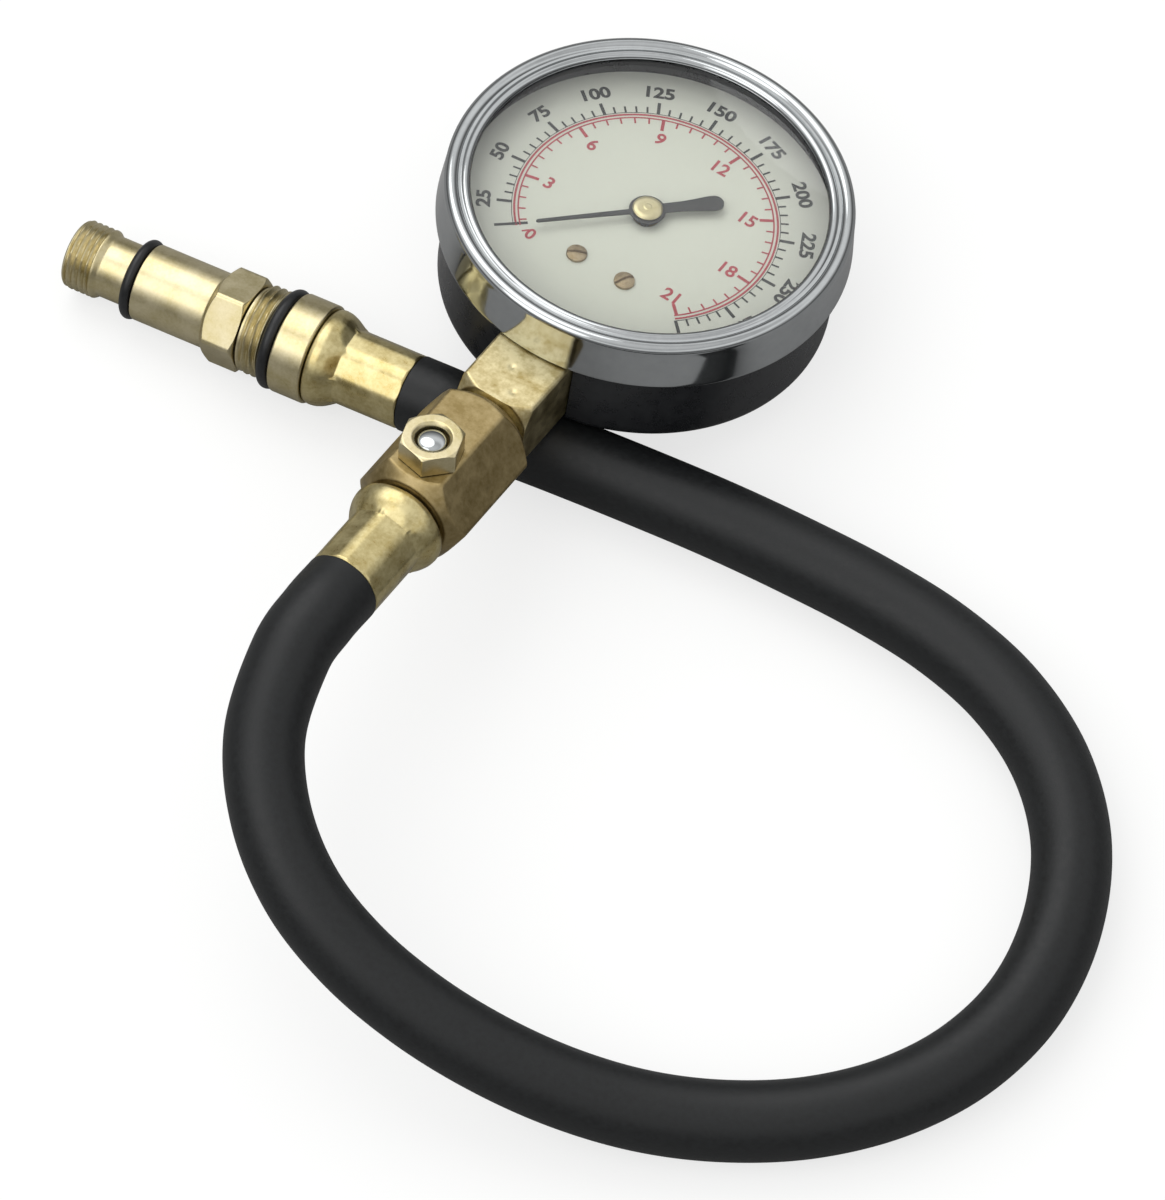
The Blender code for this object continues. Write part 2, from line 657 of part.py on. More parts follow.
def gear_outline(teeth, chosen, centre, phase):
    """The chosen teeth of a gear, each a trapezium on the root circle."""
    pitch_radius = TOOTH_MODULE * teeth / 2
    pitch = 2 * math.pi / teeth
    root = pitch_radius - DEDENDUM * TOOTH_MODULE
    tip = pitch_radius + ADDENDUM * TOOTH_MODULE
    half = TOOTH_SHARE * pitch / 2
    points = []
    for tooth in chosen:
        middle = phase + tooth * pitch
        points.append(polar(root, middle - half * 1.35, centre))
        points.append(polar(tip, middle - half * 0.45, centre))
        points.append(polar(tip, middle + half * 0.45, centre))
        points.append(polar(root, middle + half * 1.35, centre))
    return points


def add_sector(gauge):
    """The sector gear with its tail, and its arbor."""
    pivot = sector_pivot()
    pitch = 2 * math.pi / SECTOR_TEETH
    upward = math.pi / 2
    needed = math.ceil(POINTER_TRAVEL * PINION_TEETH / SECTOR_TEETH / pitch) + 1
    chosen = range(-needed, 2)
    teeth = gear_outline(SECTOR_TEETH, chosen, pivot, upward)
    rim = TOOTH_MODULE * SECTOR_TEETH / 2 - SECTOR_RIM_WIDTH
    low = upward - (needed + 0.7) * pitch
    high = upward + 1.7 * pitch
    hub = COLLAR_RADIUS * 1.5
    web_low, web_high = low + 0.18, high - 0.10
    tail = polar(TAIL_LENGTH, TAIL_ANGLE, pivot)
    outline = [polar(rim, low, pivot)] + teeth + [polar(rim, high, pivot)]
    outline += [polar(rim, web_high, pivot), polar(hub * 1.6, web_high, pivot)]
    outline += arc_points(hub, web_high + 0.5, TAIL_ANGLE - 0.6 + 2 * math.pi, 8, pivot)
    outline += arc_points(EYE_RADIUS, TAIL_ANGLE - math.pi / 2, TAIL_ANGLE + math.pi / 2, 9, tail)
    outline += arc_points(hub, TAIL_ANGLE + 0.6, web_low - 0.5, 8, pivot)
    outline += [polar(hub * 1.6, web_low, pivot), polar(rim, web_low, pivot)]
    holes = [ring_points(ARBOR_RADIUS + FIT_GAP, pivot, 16), ring_points(EYE_HOLE_RADIUS, tail, 12)]
    plate("sector_gear", [outline] + holes, SECTOR_BOTTOM, SECTOR_THICKNESS, gauge, BRASS)

    back, front = BACK_PLATE_BOTTOM + PLATE_THICKNESS, FRONT_PLATE_BOTTOM
    under, over = SECTOR_BOTTOM - FIT_GAP, SECTOR_BOTTOM + SECTOR_THICKNESS + FIT_GAP
    shaft = [
        (0.0, front + PLATE_THICKNESS - FIT_GAP),
        (ARBOR_RADIUS, front + PLATE_THICKNESS - FIT_GAP),
        (ARBOR_RADIUS, front - FIT_GAP),
        (COLLAR_RADIUS, front - FIT_GAP),
        (COLLAR_RADIUS, over),
        (ARBOR_RADIUS, over),
        (ARBOR_RADIUS, under),
        (COLLAR_RADIUS, under),
        (COLLAR_RADIUS, back + FIT_GAP),
        (ARBOR_RADIUS, back + FIT_GAP),
        (ARBOR_RADIUS, BACK_PLATE_BOTTOM + FIT_GAP),
        (0.0, BACK_PLATE_BOTTOM + FIT_GAP),
    ]
    arbor = turned("sector_arbor", shaft, gauge, STEEL, SMALL_STEPS)
    arbor.location = (*pivot, 0.0)


def add_link(gauge):
    """The link from the sector's tail to the tube's tip, and its rivet in the tail."""
    tail = polar(TAIL_LENGTH, TAIL_ANGLE, sector_pivot())
    tip = polar(TIP_PIVOT_RADIUS, tip_angle())
    slope = math.atan2(tip[1] - tail[1], tip[0] - tail[0])
    narrow = math.asin(LINK_HALF_WIDTH / EYE_RADIUS)
    outline = arc_points(EYE_RADIUS, slope + narrow, slope + 2 * math.pi - narrow, 12, tail)
    outline += arc_points(EYE_RADIUS, slope + math.pi + narrow, slope + 3 * math.pi - narrow, 12, tip)
    holes = [ring_points(EYE_HOLE_RADIUS, tail, 12), ring_points(EYE_HOLE_RADIUS, tip, 12)]
    plate("link", [outline] + holes, LINK_BOTTOM, LINK_THICKNESS, gauge, BRASS)
    head, shank = EYE_RADIUS * 0.75, EYE_HOLE_RADIUS * 0.8
    over = LINK_BOTTOM + LINK_THICKNESS + FIT_GAP
    under = SECTOR_BOTTOM - FIT_GAP
    profile = [
        (0.0, over + RIVET_HEAD),
        (head * 0.7, over + RIVET_HEAD),
        (head, over),
        (shank, over),
        (shank, under),
        (head, under),
        (head * 0.7, under - RIVET_HEAD),
        (0.0, under - RIVET_HEAD),
    ]
    rivet = turned("link_rivet", profile, gauge, STEEL, SMALL_STEPS)
    rivet.location = (*tail, 0.0)


def add_movement(gauge):
    """The two plates, the pillars between them and the screws that hold the back plate."""
    pivot = sector_pivot()
    bearings = [ring_points(ARBOR_RADIUS + FIT_GAP, centre, 16) for centre in ((0.0, 0.0), pivot)]
    sides = [(-1, "left"), (1, "right")]
    tenons = [ring_points(PILLAR_TENON_RADIUS + FIT_GAP, (side * PILLAR_X, PILLAR_Y), 16) for side, _ in sides]
    screws = [ring_points(MOVEMENT_SCREW_RADIUS + SEAT_GAP, (side * MOVEMENT_SCREW_X, MOVEMENT_SCREW_Y), 12)
              for side, _ in sides]
    crown = arc_points(PLATE_HALF_WIDTH * 0.6, math.radians(160), math.radians(20), 9)
    shoulder = PILLAR_Y + PLATE_SHOULDER
    back_end = -(SOCKET_END - SEAT_GAP)
    back = crown + [(PLATE_HALF_WIDTH, shoulder), (PLATE_HALF_WIDTH, back_end),
                    (-PLATE_HALF_WIDTH, back_end), (-PLATE_HALF_WIDTH, shoulder)]
    plate("movement_back_plate", [back] + bearings + tenons + screws, BACK_PLATE_BOTTOM,
          PLATE_THICKNESS, gauge, BRASS)
    front_end = PILLAR_Y - PLATE_SHOULDER * 1.4
    front = crown + [(PLATE_HALF_WIDTH, shoulder), (PLATE_HALF_WIDTH, front_end),
                     (-PLATE_HALF_WIDTH, front_end), (-PLATE_HALF_WIDTH, shoulder)]
    plate("movement_front_plate", [front] + bearings + tenons, FRONT_PLATE_BOTTOM,
          PLATE_THICKNESS, gauge, BRASS)

    low = BACK_PLATE_BOTTOM + PLATE_THICKNESS + FIT_GAP
    high = FRONT_PLATE_BOTTOM - FIT_GAP
    over = FRONT_PLATE_BOTTOM + PLATE_THICKNESS + FIT_GAP
    top = DIAL_TOP - DIAL_THICKNESS - FIT_GAP
    tapped = PILLAR_TENON_RADIUS / 2 + FIT_GAP
    for side, word in sides:
        profile = [
            (0.0, DIAL_TOP - DIAL_SCREW_LENGTH - SEAT_GAP),
            (tapped, DIAL_TOP - DIAL_SCREW_LENGTH - SEAT_GAP),
            (tapped, top),
            (DIAL_POST_RADIUS, top),
            (DIAL_POST_RADIUS, over),
            (PILLAR_TENON_RADIUS, over),
            (PILLAR_TENON_RADIUS, high),
            (PILLAR_RADIUS, high),
            (PILLAR_RADIUS, low),
            (PILLAR_TENON_RADIUS, low),
            (PILLAR_TENON_RADIUS, BACK_PLATE_BOTTOM + FIT_GAP),
            (0.0, BACK_PLATE_BOTTOM + FIT_GAP),
        ]
        pillar = turned("pillar_" + word, profile, gauge, BRASS, SMALL_STEPS)
        pillar.location = (side * PILLAR_X, PILLAR_Y, 0.0)

        seat = BACK_PLATE_BOTTOM + PLATE_THICKNESS + FIT_GAP
        head = MOVEMENT_SCREW_RADIUS * 2.2
        screw_profile = [
            (0.0, seat + MOVEMENT_SCREW_HEAD),
            (head * 0.8, seat + MOVEMENT_SCREW_HEAD),
            (head, seat + MOVEMENT_SCREW_HEAD * 0.55),
            (head, seat),
            (MOVEMENT_SCREW_RADIUS, seat),
            (MOVEMENT_SCREW_RADIUS, seat - MOVEMENT_SCREW_LENGTH),
            (0.0, seat - MOVEMENT_SCREW_LENGTH),
        ]
        screw = turned("movement_screw_" + word, screw_profile, gauge, STEEL, SMALL_STEPS)
        screw.location = (side * MOVEMENT_SCREW_X, MOVEMENT_SCREW_Y, 0.0)


def add_tube(gauge):
    """The Bourdon tube, its soldered tip with the link's lug, and the hairspring."""
    middle = AXIS_HEIGHT
    half_w, half_h = TUBE_WIDTH / 2, TUBE_HEIGHT / 2
    section = bpy.data.curves.new("tube_section", "CURVE")
    section.dimensions = "2D"
    ends = arc_points(half_w, 0.0, math.pi, 4, (0.0, half_h - half_w))
    ends += arc_points(half_w, math.pi, 2 * math.pi, 4, (0.0, half_w - half_h))
    spline = section.splines.new("POLY")
    spline.points.add(len(ends) - 1)
    for point, (x, y) in zip(spline.points, ends):
        point.co = (x, y, 0.0, 1.0)
    spline.use_cyclic_u = True
    guide = place("tube_section", section, gauge)
    curve = bpy.data.curves.new("bourdon_tube", "CURVE")
    curve.dimensions = "2D"
    curve.bevel_mode = "OBJECT"
    curve.bevel_object = guide
    curve.use_fill_caps = True
    path = arc_points(TUBE_RADIUS, TUBE_START, TUBE_END, 36)
    spline = curve.splines.new("POLY")
    spline.points.add(len(path) - 1)
    for point, (x, y) in zip(spline.points, path):
        point.co = (x, y, 0.0, 1.0)
    swept = place("tube_sweep", curve, gauge)
    mesh = settled(swept)
    mesh.transform(Matrix.Translation((0.0, 0.0, middle)))
    bpy.data.objects.remove(swept, do_unlink=True)
    place("bourdon_tube", mesh, gauge, BRONZE)

    angle = tip_angle()
    tip_frame = empty("tube_tip_frame", gauge, rotation=(0.0, 0.0, angle))
    reach = TUBE_WIDTH / 2 + TIP_MARGIN
    rise = TUBE_HEIGHT / 2 + TIP_MARGIN
    cap = box("tube_tip", (TUBE_RADIUS - reach, -TIP_LENGTH / 2, middle - rise),
              (TUBE_RADIUS + reach, TIP_LENGTH / 2, middle + rise), tip_frame, BRASS)
    lug_top = LINK_BOTTOM - FIT_GAP
    eye = arc_points(EYE_RADIUS, math.pi / 2, math.pi * 3 / 2, 9, (TIP_PIVOT_RADIUS, 0.0))
    root = TUBE_RADIUS - reach * 0.8
    outline = eye + [(root, -EYE_RADIUS * 0.95), (root, EYE_RADIUS * 0.95)]
    hole = ring_points(EYE_HOLE_RADIUS, (TIP_PIVOT_RADIUS, 0.0), 12)
    lug = plate("tip_lug", [outline, hole], lug_top - LUG_THICKNESS, LUG_THICKNESS, tip_frame)
    change(cap, lug, "UNION")

    bottom = FRONT_PLATE_BOTTOM - FIT_GAP - HAIRSPRING_HEIGHT
    inner = COLLAR_RADIUS + 2 * FIT_GAP
    count = round(HAIRSPRING_TURNS * 14)
    outward, inward = [], []
    for i in range(count + 1):
        turn = 2 * math.pi * HAIRSPRING_TURNS * i / count
        radius = inner + (HAIRSPRING_RADIUS - inner) * i / count
        outward.append(polar(radius, turn))
        inward.append(polar(radius + HAIRSPRING_STRIP, turn))
    plate("hairspring", [outward + inward[::-1]], bottom, HAIRSPRING_HEIGHT, gauge, BRONZE)


def add_stem(gauge, line):
    """The square stem, turned at its end, with its thread, its socket inside the case and its gas bore."""
    half = STEM_SIDE / 2
    stem = box("stem", (-half, -half, STEM_INNER_END), (half, half, STEM_END), line, BRASS)
    corner = STEM_SIDE * 0.73
    turned_end = turned("stem_envelope", [
        (0.0, STEM_END),
        (STEM_TURNED_RADIUS, STEM_END),
        (corner, STEM_END - STEM_CROWN),
        (corner, STEM_INNER_END * 0.9),
        (0.0, STEM_INNER_END * 0.9),
    ], line)
    change(stem, turned_end, "INTERSECT")
    root = STEM_THREAD_RADIUS - STEM_THREAD_DEPTH
    thread = turned("stem_thread", [
        (0.0, STEM_THREAD_END),
        (root, STEM_THREAD_END),
        (root + STEM_THREAD_DEPTH * 0.6, STEM_THREAD_END - STEM_THREAD_DEPTH),
        (STEM_THREAD_RADIUS, STEM_END + STEM_THREAD_DEPTH * 3),
        (root, STEM_END + STEM_THREAD_DEPTH * 2),
        (root, STEM_END - STEM_CROWN),
        (0.0, STEM_END - STEM_CROWN),
    ], line)
    change(stem, thread, "UNION")
    bottom = CASE_WALL + SEAT_GAP - AXIS_HEIGHT
    socket = box("socket_block", (-SOCKET_HALF_WIDTH, bottom, SOCKET_END),
                 (SOCKET_HALF_WIDTH, SOCKET_TOP - AXIS_HEIGHT, STEM_INNER_END + SOCKET_LAP), line)
    change(stem, socket, "UNION")
    seat = box("movement_seat", (-PLATE_HALF_WIDTH, bottom + FIT_GAP, SEAT_END),
               (PLATE_HALF_WIDTH, BACK_PLATE_BOTTOM - SEAT_GAP - AXIS_HEIGHT, SOCKET_END + SOCKET_LAP), line)
    change(stem, seat, "UNION")
    bore = rod("gas_bore", GAS_BORE_RADIUS, TUBE_RADIUS, STEM_THREAD_END * 1.02, line)
    change(stem, bore)

    gap = SEAT_GAP
    low = AXIS_HEIGHT - TUBE_HEIGHT / 2 - gap
    high = AXIS_HEIGHT + TUBE_HEIGHT / 2 + gap
    inner = TUBE_RADIUS - TUBE_WIDTH / 2 - gap
    outer = TUBE_RADIUS + TUBE_WIDTH / 2 + gap
    ring = turned("tube_slot", [(inner, high), (outer, high), (outer, low), (inner, low)], gauge,
                  steps=ROUND_STEPS)
    slot_end = TUBE_RADIUS * math.cos(TUBE_START) + gap
    keep = box("tube_slot_reach", (-SOCKET_HALF_WIDTH * 1.5, -outer * 1.1, low - gap),
               (slot_end, 0.0, high + gap), gauge)
    change(ring, keep, "INTERSECT")
    change(stem, ring)
    cross = rod("cross_bore", GAS_BORE_RADIUS * 0.8, slot_end - gap, 0.0, gauge)
    cross.rotation_euler = (0.0, math.radians(90), 0.0)
    cross.location = (0.0, -TUBE_RADIUS - GAS_BORE_RADIUS * 0.55, AXIS_HEIGHT)
    change(stem, cross)
    case_tap_end = CASE_SCREW_SUNK + CASE_SCREW_LENGTH + TAP_MARGIN
    screw_seat = BACK_PLATE_BOTTOM + PLATE_THICKNESS + FIT_GAP
    for side, word in ((-1, "left"), (1, "right")):
        tapped = rod("case_screw_thread", CASE_SCREW_RADIUS + FIT_GAP, 0.0, case_tap_end, gauge)
        tapped.location = (side * CASE_SCREW_X, CASE_SCREW_Y, 0.0)
        change(stem, tapped)
        movement = rod("movement_screw_thread", MOVEMENT_SCREW_RADIUS + FIT_GAP,
                       screw_seat - MOVEMENT_SCREW_LENGTH - TAP_MARGIN, screw_seat, gauge)
        movement.location = (side * MOVEMENT_SCREW_X, MOVEMENT_SCREW_Y, 0.0)
        change(stem, movement)
        add_case_screw("case_screw_" + word, side * CASE_SCREW_X, gauge)


def add_case_screw(name, x, gauge):
    """A countersunk screw that stands just below the case's back and reaches into the socket."""
    head, face = CASE_SCREW_HEAD_RADIUS, CASE_SCREW_SUNK
    screw = turned(name, [
        (0.0, face + CASE_SCREW_LENGTH),
        (CASE_SCREW_RADIUS, face + CASE_SCREW_LENGTH),
        (CASE_SCREW_RADIUS, CASE_WALL),
        (head, face + FIT_GAP / 2),
        (head, face),
        (0.0, face),
    ], gauge, STEEL, SMALL_STEPS)
    screw.location = (x, CASE_SCREW_Y, 0.0)
    slot = box("case_screw_slot", (-head * 1.1, -SCREW_SLOT_HALF_WIDTH, -face),
               (head * 1.1, SCREW_SLOT_HALF_WIDTH, face + CASE_SCREW_SLOT_DEPTH), screw)
    change(screw, slot)


def add_block(block, valve):
    """The tee block: a hexagon bar with turned ends, two pipe ports, a passage and a valve port."""
    face = BLOCK_FLATS / 2
    body = prism("tee_block", 6, BLOCK_FLATS, BLOCK_START, BLOCK_END, block, BRASS)
    corner = face * 1.2
    envelope = turned("block_envelope", [
        (0.0, BLOCK_END),
        (BLOCK_TURNED_RADIUS, BLOCK_END),
        (corner, BLOCK_END - BLOCK_CHAMFER),
        (corner, BLOCK_START + BLOCK_CHAMFER),
        (BLOCK_TURNED_RADIUS, BLOCK_START),
        (0.0, BLOCK_START),
    ], block)
    change(body, envelope, "INTERSECT")
    change(body, rod("stem_port", PORT_RADIUS, BLOCK_START * 0.98, BLOCK_START + PORT_DEPTH, block,
                     steps=FITTING_STEPS))
    change(body, rod("hose_port", PORT_RADIUS, BLOCK_END - HOSE_PORT_DEPTH, BLOCK_END * 1.02, block,
                     steps=FITTING_STEPS))
    shank_end = face + FIT_GAP - VALVE_SHANK_LENGTH
    port = turned("valve_port", [
        (0.0, 2 * face),
        (VALVE_SHANK_RADIUS + FIT_GAP, 2 * face),
        (VALVE_SHANK_RADIUS + FIT_GAP, shank_end - FIT_GAP),
        (VALVE_CHAMBER_RADIUS, shank_end - FIT_GAP),
        (VALVE_CHAMBER_RADIUS, -PASSAGE_RADIUS * 0.4),
        (0.0, -PASSAGE_RADIUS * 0.4),
    ], valve, steps=FITTING_STEPS)
    change(body, port)
    change(body, rod("passage", PASSAGE_RADIUS, BLOCK_START, BLOCK_END, block, steps=FITTING_STEPS))


def add_release_valve(valve):
    """The release valve: a hexagon body, the button with its stem and foot, its seal and its spring."""
    face = BLOCK_FLATS / 2 + FIT_GAP
    top = face + VALVE_HEX_HEIGHT
    bottom = face - VALVE_SHANK_LENGTH
    floor = top - VALVE_MOUTH_DEPTH
    hexagon = prism("release_valve_body", 6, VALVE_HEX, face, top, valve, BRASS, VALVE_TURN)
    across = VALVE_HEX / 2
    crown = turned("hex_crown", [
        (0.0, top),
        (across * 1.01, top),
        (across * 1.20, top - HEX_CHAMFER),
        (across * 1.20, face * 0.9),
        (0.0, face * 0.9),
    ], valve, steps=FITTING_STEPS)
    change(hexagon, crown, "INTERSECT")
    shank = rod("valve_shank", VALVE_SHANK_RADIUS, bottom, face + HEX_LAP, valve, steps=HIDDEN_STEPS)
    change(hexagon, shank, "UNION")
    guide_radius = BUTTON_STEM_RADIUS + FIT_GAP * 1.5
    bore = turned("valve_bore", [
        (0.0, top * 1.1),
        (VALVE_MOUTH_RADIUS, top * 1.1),
        (VALVE_MOUTH_RADIUS, floor),
        (guide_radius, floor),
        (guide_radius, bottom * 0.8),
        (0.0, bottom * 0.8),
    ], valve, steps=HIDDEN_STEPS)
    change(hexagon, bore)

    head_bottom = floor + BUTTON_TRAVEL + SPRING_ROOM
    head_top = top - BUTTON_SUNK
    foot_top = bottom - SEAL_LENGTH
    foot_bottom = foot_top - BUTTON_FOOT
    dome = head_top - head_bottom
    button = [(0.0, head_top), (BUTTON_RADIUS * 0.45, head_top - dome * 0.08),
              (BUTTON_RADIUS * 0.78, head_top - dome * 0.30), (BUTTON_RADIUS * 0.97, head_top - dome * 0.62),
              (BUTTON_RADIUS, head_bottom)]
    button += [
        (BUTTON_STEM_RADIUS, head_bottom),
        (BUTTON_STEM_RADIUS, foot_top),
        (VALVE_CHAMBER_RADIUS * 0.62, foot_top),
        (VALVE_CHAMBER_RADIUS * 0.62, foot_bottom),
        (0.0, foot_bottom),
    ]
    turned("release_button", button, valve, CHROME, FITTING_STEPS)
    seal_in, seal_out = BUTTON_STEM_RADIUS + FIT_GAP * 0.5, VALVE_CHAMBER_RADIUS * 0.76
    seal_low, seal_high = foot_top + FIT_GAP * 0.5, bottom - FIT_GAP * 0.5
    seal = [(seal_in, seal_high), (seal_out, seal_high), (seal_out, seal_low), (seal_in, seal_low)]
    turned("release_seal", seal, valve, RUBBER, SMALL_STEPS)
    lift = RELEASE_WIRE + FIT_GAP * 0.5
    wire("release_spring", helix(RELEASE_SPRING_RADIUS, floor + lift, head_bottom - lift, 3.5),
         RELEASE_WIRE, valve, STEEL)


def add_ferrule(name, frame, base):
    """A crimped ferrule: a belled base locked round the nipple's neck, and a sleeve with eight jaw flats."""
    bell, sleeve = FERRULE_BASE_RADIUS, FERRULE_RADIUS
    step = base + FERRULE_BASE_LENGTH
    mouth = base + FERRULE_LENGTH
    neck = NIPPLE_NECK_RADIUS + FIT_GAP
    bore = FERRULE_FLATS / 2 - FERRULE_WALL
    profile = [
        (bore, mouth),
        (sleeve - 0.0003, mouth),
        (sleeve, mouth - 0.0004),
        (sleeve, step + 0.0012),
        (bell - 0.0010, step - 0.0002),
        (bell - 0.0002, step - 0.0012),
        (bell, base + 0.0016),
        (bell - 0.0003, base + 0.0006),
        (bell - 0.0011, base),
        (neck, base),
        (neck, base + 0.0012),
        (bore, base + 0.0020),
    ]
    ferrule = turned(name, profile, frame, BRASS, FITTING_STEPS)
    end, start, wide = mouth * 1.02, step + JAW_START, bell * 1.3
    jaws = turned(name + "_jaws", [(0.0, end), (wide, end), (wide, start), (0.0, start)], frame)
    core = prism(name + "_core", 8, FERRULE_FLATS, base, mouth * 1.05, frame, turn=math.radians(10))
    change(jaws, core)
    change(ferrule, jaws)
    return mouth


def add_gauge_nipple(line):
    """The hose nipple in the block: pipe thread, flange, neck and barbed tail."""
    flange = BLOCK_END + SEAT_GAP
    neck = flange + NIPPLE_FLANGE_LENGTH
    ferrule_base = neck + FIT_GAP
    tail = ferrule_base + FERRULE_LENGTH
    thread_start = BLOCK_END - HOSE_PORT_DEPTH + SEAT_GAP
    profile = [(GAS_BORE_RADIUS, tail), (BARB_RADIUS - BARB_RIDGE, tail)]
    profile += barbs(neck + 0.0030, tail)
    profile += [
        (BARB_RADIUS, neck + 0.0028),
        (BARB_RADIUS, neck + 0.0022),
        (NIPPLE_NECK_RADIUS, neck + 0.0012),
        (NIPPLE_NECK_RADIUS, neck),
        (NIPPLE_FLANGE_RADIUS, neck),
        (NIPPLE_FLANGE_RADIUS, flange),
        (NIPPLE_THREAD_RADIUS, flange),
        (NIPPLE_THREAD_RADIUS - 0.0002, thread_start + 0.0005),
        (NIPPLE_THREAD_RADIUS - 0.0006, thread_start),
        (GAS_BORE_RADIUS, thread_start),
    ]
    turned("gauge_end_nipple", profile, line, BRASS, HIDDEN_STEPS)
    return ferrule_base


def barbs(start, end):
    """The ridges of a barbed tail, from its end back to its start."""
    points = []
    length = (end - start) / BARB_RIDGES
    for ridge in range(BARB_RIDGES):
        low = end - (ridge + 1) * length
        points.append((BARB_RADIUS, low + length * 0.15))
        points.append((BARB_RADIUS - BARB_RIDGE, low + length * 0.10))
    return points


def o_ring(name, radius, wire_radius, middle, frame):
    """A rubber O-ring of an outer radius, round the fitting's axis."""
    centre = radius - wire_radius
    section = arc_points(wire_radius, math.pi, -math.pi, RING_SIDES + 1, (centre, middle))[:-1]
    turned(name, section, frame, RUBBER, FITTING_STEPS)


def add_adapter(fitting):
    """The 14 mm adapter: thread, neck with an O-ring seat, body, hexagon and male stub."""
    seat = SMALL_RING_RADIUS - 2 * SMALL_RING_WIRE - GROOVE_DEPTH
    ring_place = ADAPTER_SHOULDER - SMALL_RING_WIRE - FIT_GAP
    stub_end = HEX_END + STUB_LENGTH
    adapter = turned("plug_adapter_14mm", [
        (0.0, stub_end),
        (STUB_RADIUS - 0.0005, stub_end),
        (STUB_RADIUS, stub_end - 0.0005),
        (STUB_RADIUS, HEX_END - 0.0010),
        (ADAPTER_RADIUS, HEX_END - 0.0010),
        (ADAPTER_RADIUS, ADAPTER_SHOULDER),
        (seat, ADAPTER_SHOULDER),
        (seat, ring_place - SMALL_RING_WIRE),
        (TIP_NECK_RADIUS, ring_place - SMALL_RING_WIRE),
        (TIP_NECK_RADIUS, TIP_THREAD_LENGTH + 0.0010),
        (TIP_THREAD_RADIUS, TIP_THREAD_LENGTH),
        (TIP_THREAD_RADIUS, TIP_CHAMFER),
        (TIP_THREAD_RADIUS - TIP_CHAMFER, 0.0),
        (0.0, 0.0),
    ], fitting, BRASS, FITTING_STEPS)
    hexagon = prism("adapter_hex", 6, ADAPTER_HEX, HEX_START, HEX_END, fitting, turn=ADAPTER_HEX_TURN)
    flats = ADAPTER_HEX / 2
    crown = turned("adapter_crown", [
        (0.0, HEX_END),
        (flats * 1.02, HEX_END),
        (flats * 1.18, HEX_END - 0.0008),
        (flats * 1.18, HEX_START + 0.0016),
        (ADAPTER_RADIUS * 0.98, HEX_START),
        (0.0, HEX_START),
    ], fitting)
    change(hexagon, crown, "INTERSECT")
    change(adapter, hexagon, "UNION")
    core_stop = CORE_START + CORE_LENGTH + FIT_GAP
    gas = GAS_BORE_RADIUS + CORE_TRAVEL * 0.4
    bore = turned("adapter_bore", [
        (0.0, stub_end * 1.05),
        (gas, stub_end * 1.05),
        (gas, core_stop),
        (CORE_RADIUS + FIT_GAP, core_stop),
        (CORE_RADIUS + FIT_GAP, -TIP_CHAMFER),
        (0.0, -TIP_CHAMFER),
    ], fitting, steps=SMALL_STEPS)
    change(adapter, bore)
    o_ring("small_o_ring", SMALL_RING_RADIUS, SMALL_RING_WIRE, ring_place, fitting)


def add_plug_fitting(fitting):
    """The 18 mm plug fitting: thread, O-ring seat, collar, neck and barbed tail."""
    face = HEX_END + SEAT_GAP
    seat = LARGE_RING_RADIUS - 2 * LARGE_RING_WIRE - GROOVE_DEPTH
    socket = STUB_RADIUS + FIT_GAP
    socket_end = HEX_END + STUB_LENGTH + SEAT_GAP
    neck_end = COLLAR_END + 0.0016
    ferrule_base = COLLAR_END + FIT_GAP
    tail = ferrule_base + FERRULE_LENGTH
    profile = [(GAS_BORE_RADIUS, tail), (BARB_RADIUS - BARB_RIDGE, tail)]
    profile += barbs(neck_end + 0.0014, tail)
    profile += [
        (BARB_RADIUS, neck_end + 0.0012),
        (BARB_RADIUS, neck_end + 0.0008),
        (NIPPLE_NECK_RADIUS, neck_end),
        (NIPPLE_NECK_RADIUS, COLLAR_END),
        (COLLAR_BAND_RADIUS - 0.0003, COLLAR_END),
        (COLLAR_BAND_RADIUS, COLLAR_END - 0.0003),
        (COLLAR_BAND_RADIUS, COLLAR_START + 0.0002),
        (COLLAR_BAND_RADIUS - 0.0002, COLLAR_START),
        (seat, COLLAR_START),
        (seat, PLUG_THREAD_END),
        (PLUG_THREAD_RADIUS - 0.0004, PLUG_THREAD_END),
        (PLUG_THREAD_RADIUS, PLUG_THREAD_END - 0.0004),
        (PLUG_THREAD_RADIUS, face + 0.0006),
        (PLUG_THREAD_RADIUS - 0.0006, face),
        (socket, face),
        (socket, socket_end),
        (GAS_BORE_RADIUS, socket_end),
    ]
    turned("plug_fitting_18mm", profile, fitting, BRASS, FITTING_STEPS)
    ring_place = COLLAR_START - LARGE_RING_WIRE - FIT_GAP / 2
    o_ring("large_o_ring", LARGE_RING_RADIUS, LARGE_RING_WIRE, ring_place, fitting)
    return ferrule_base


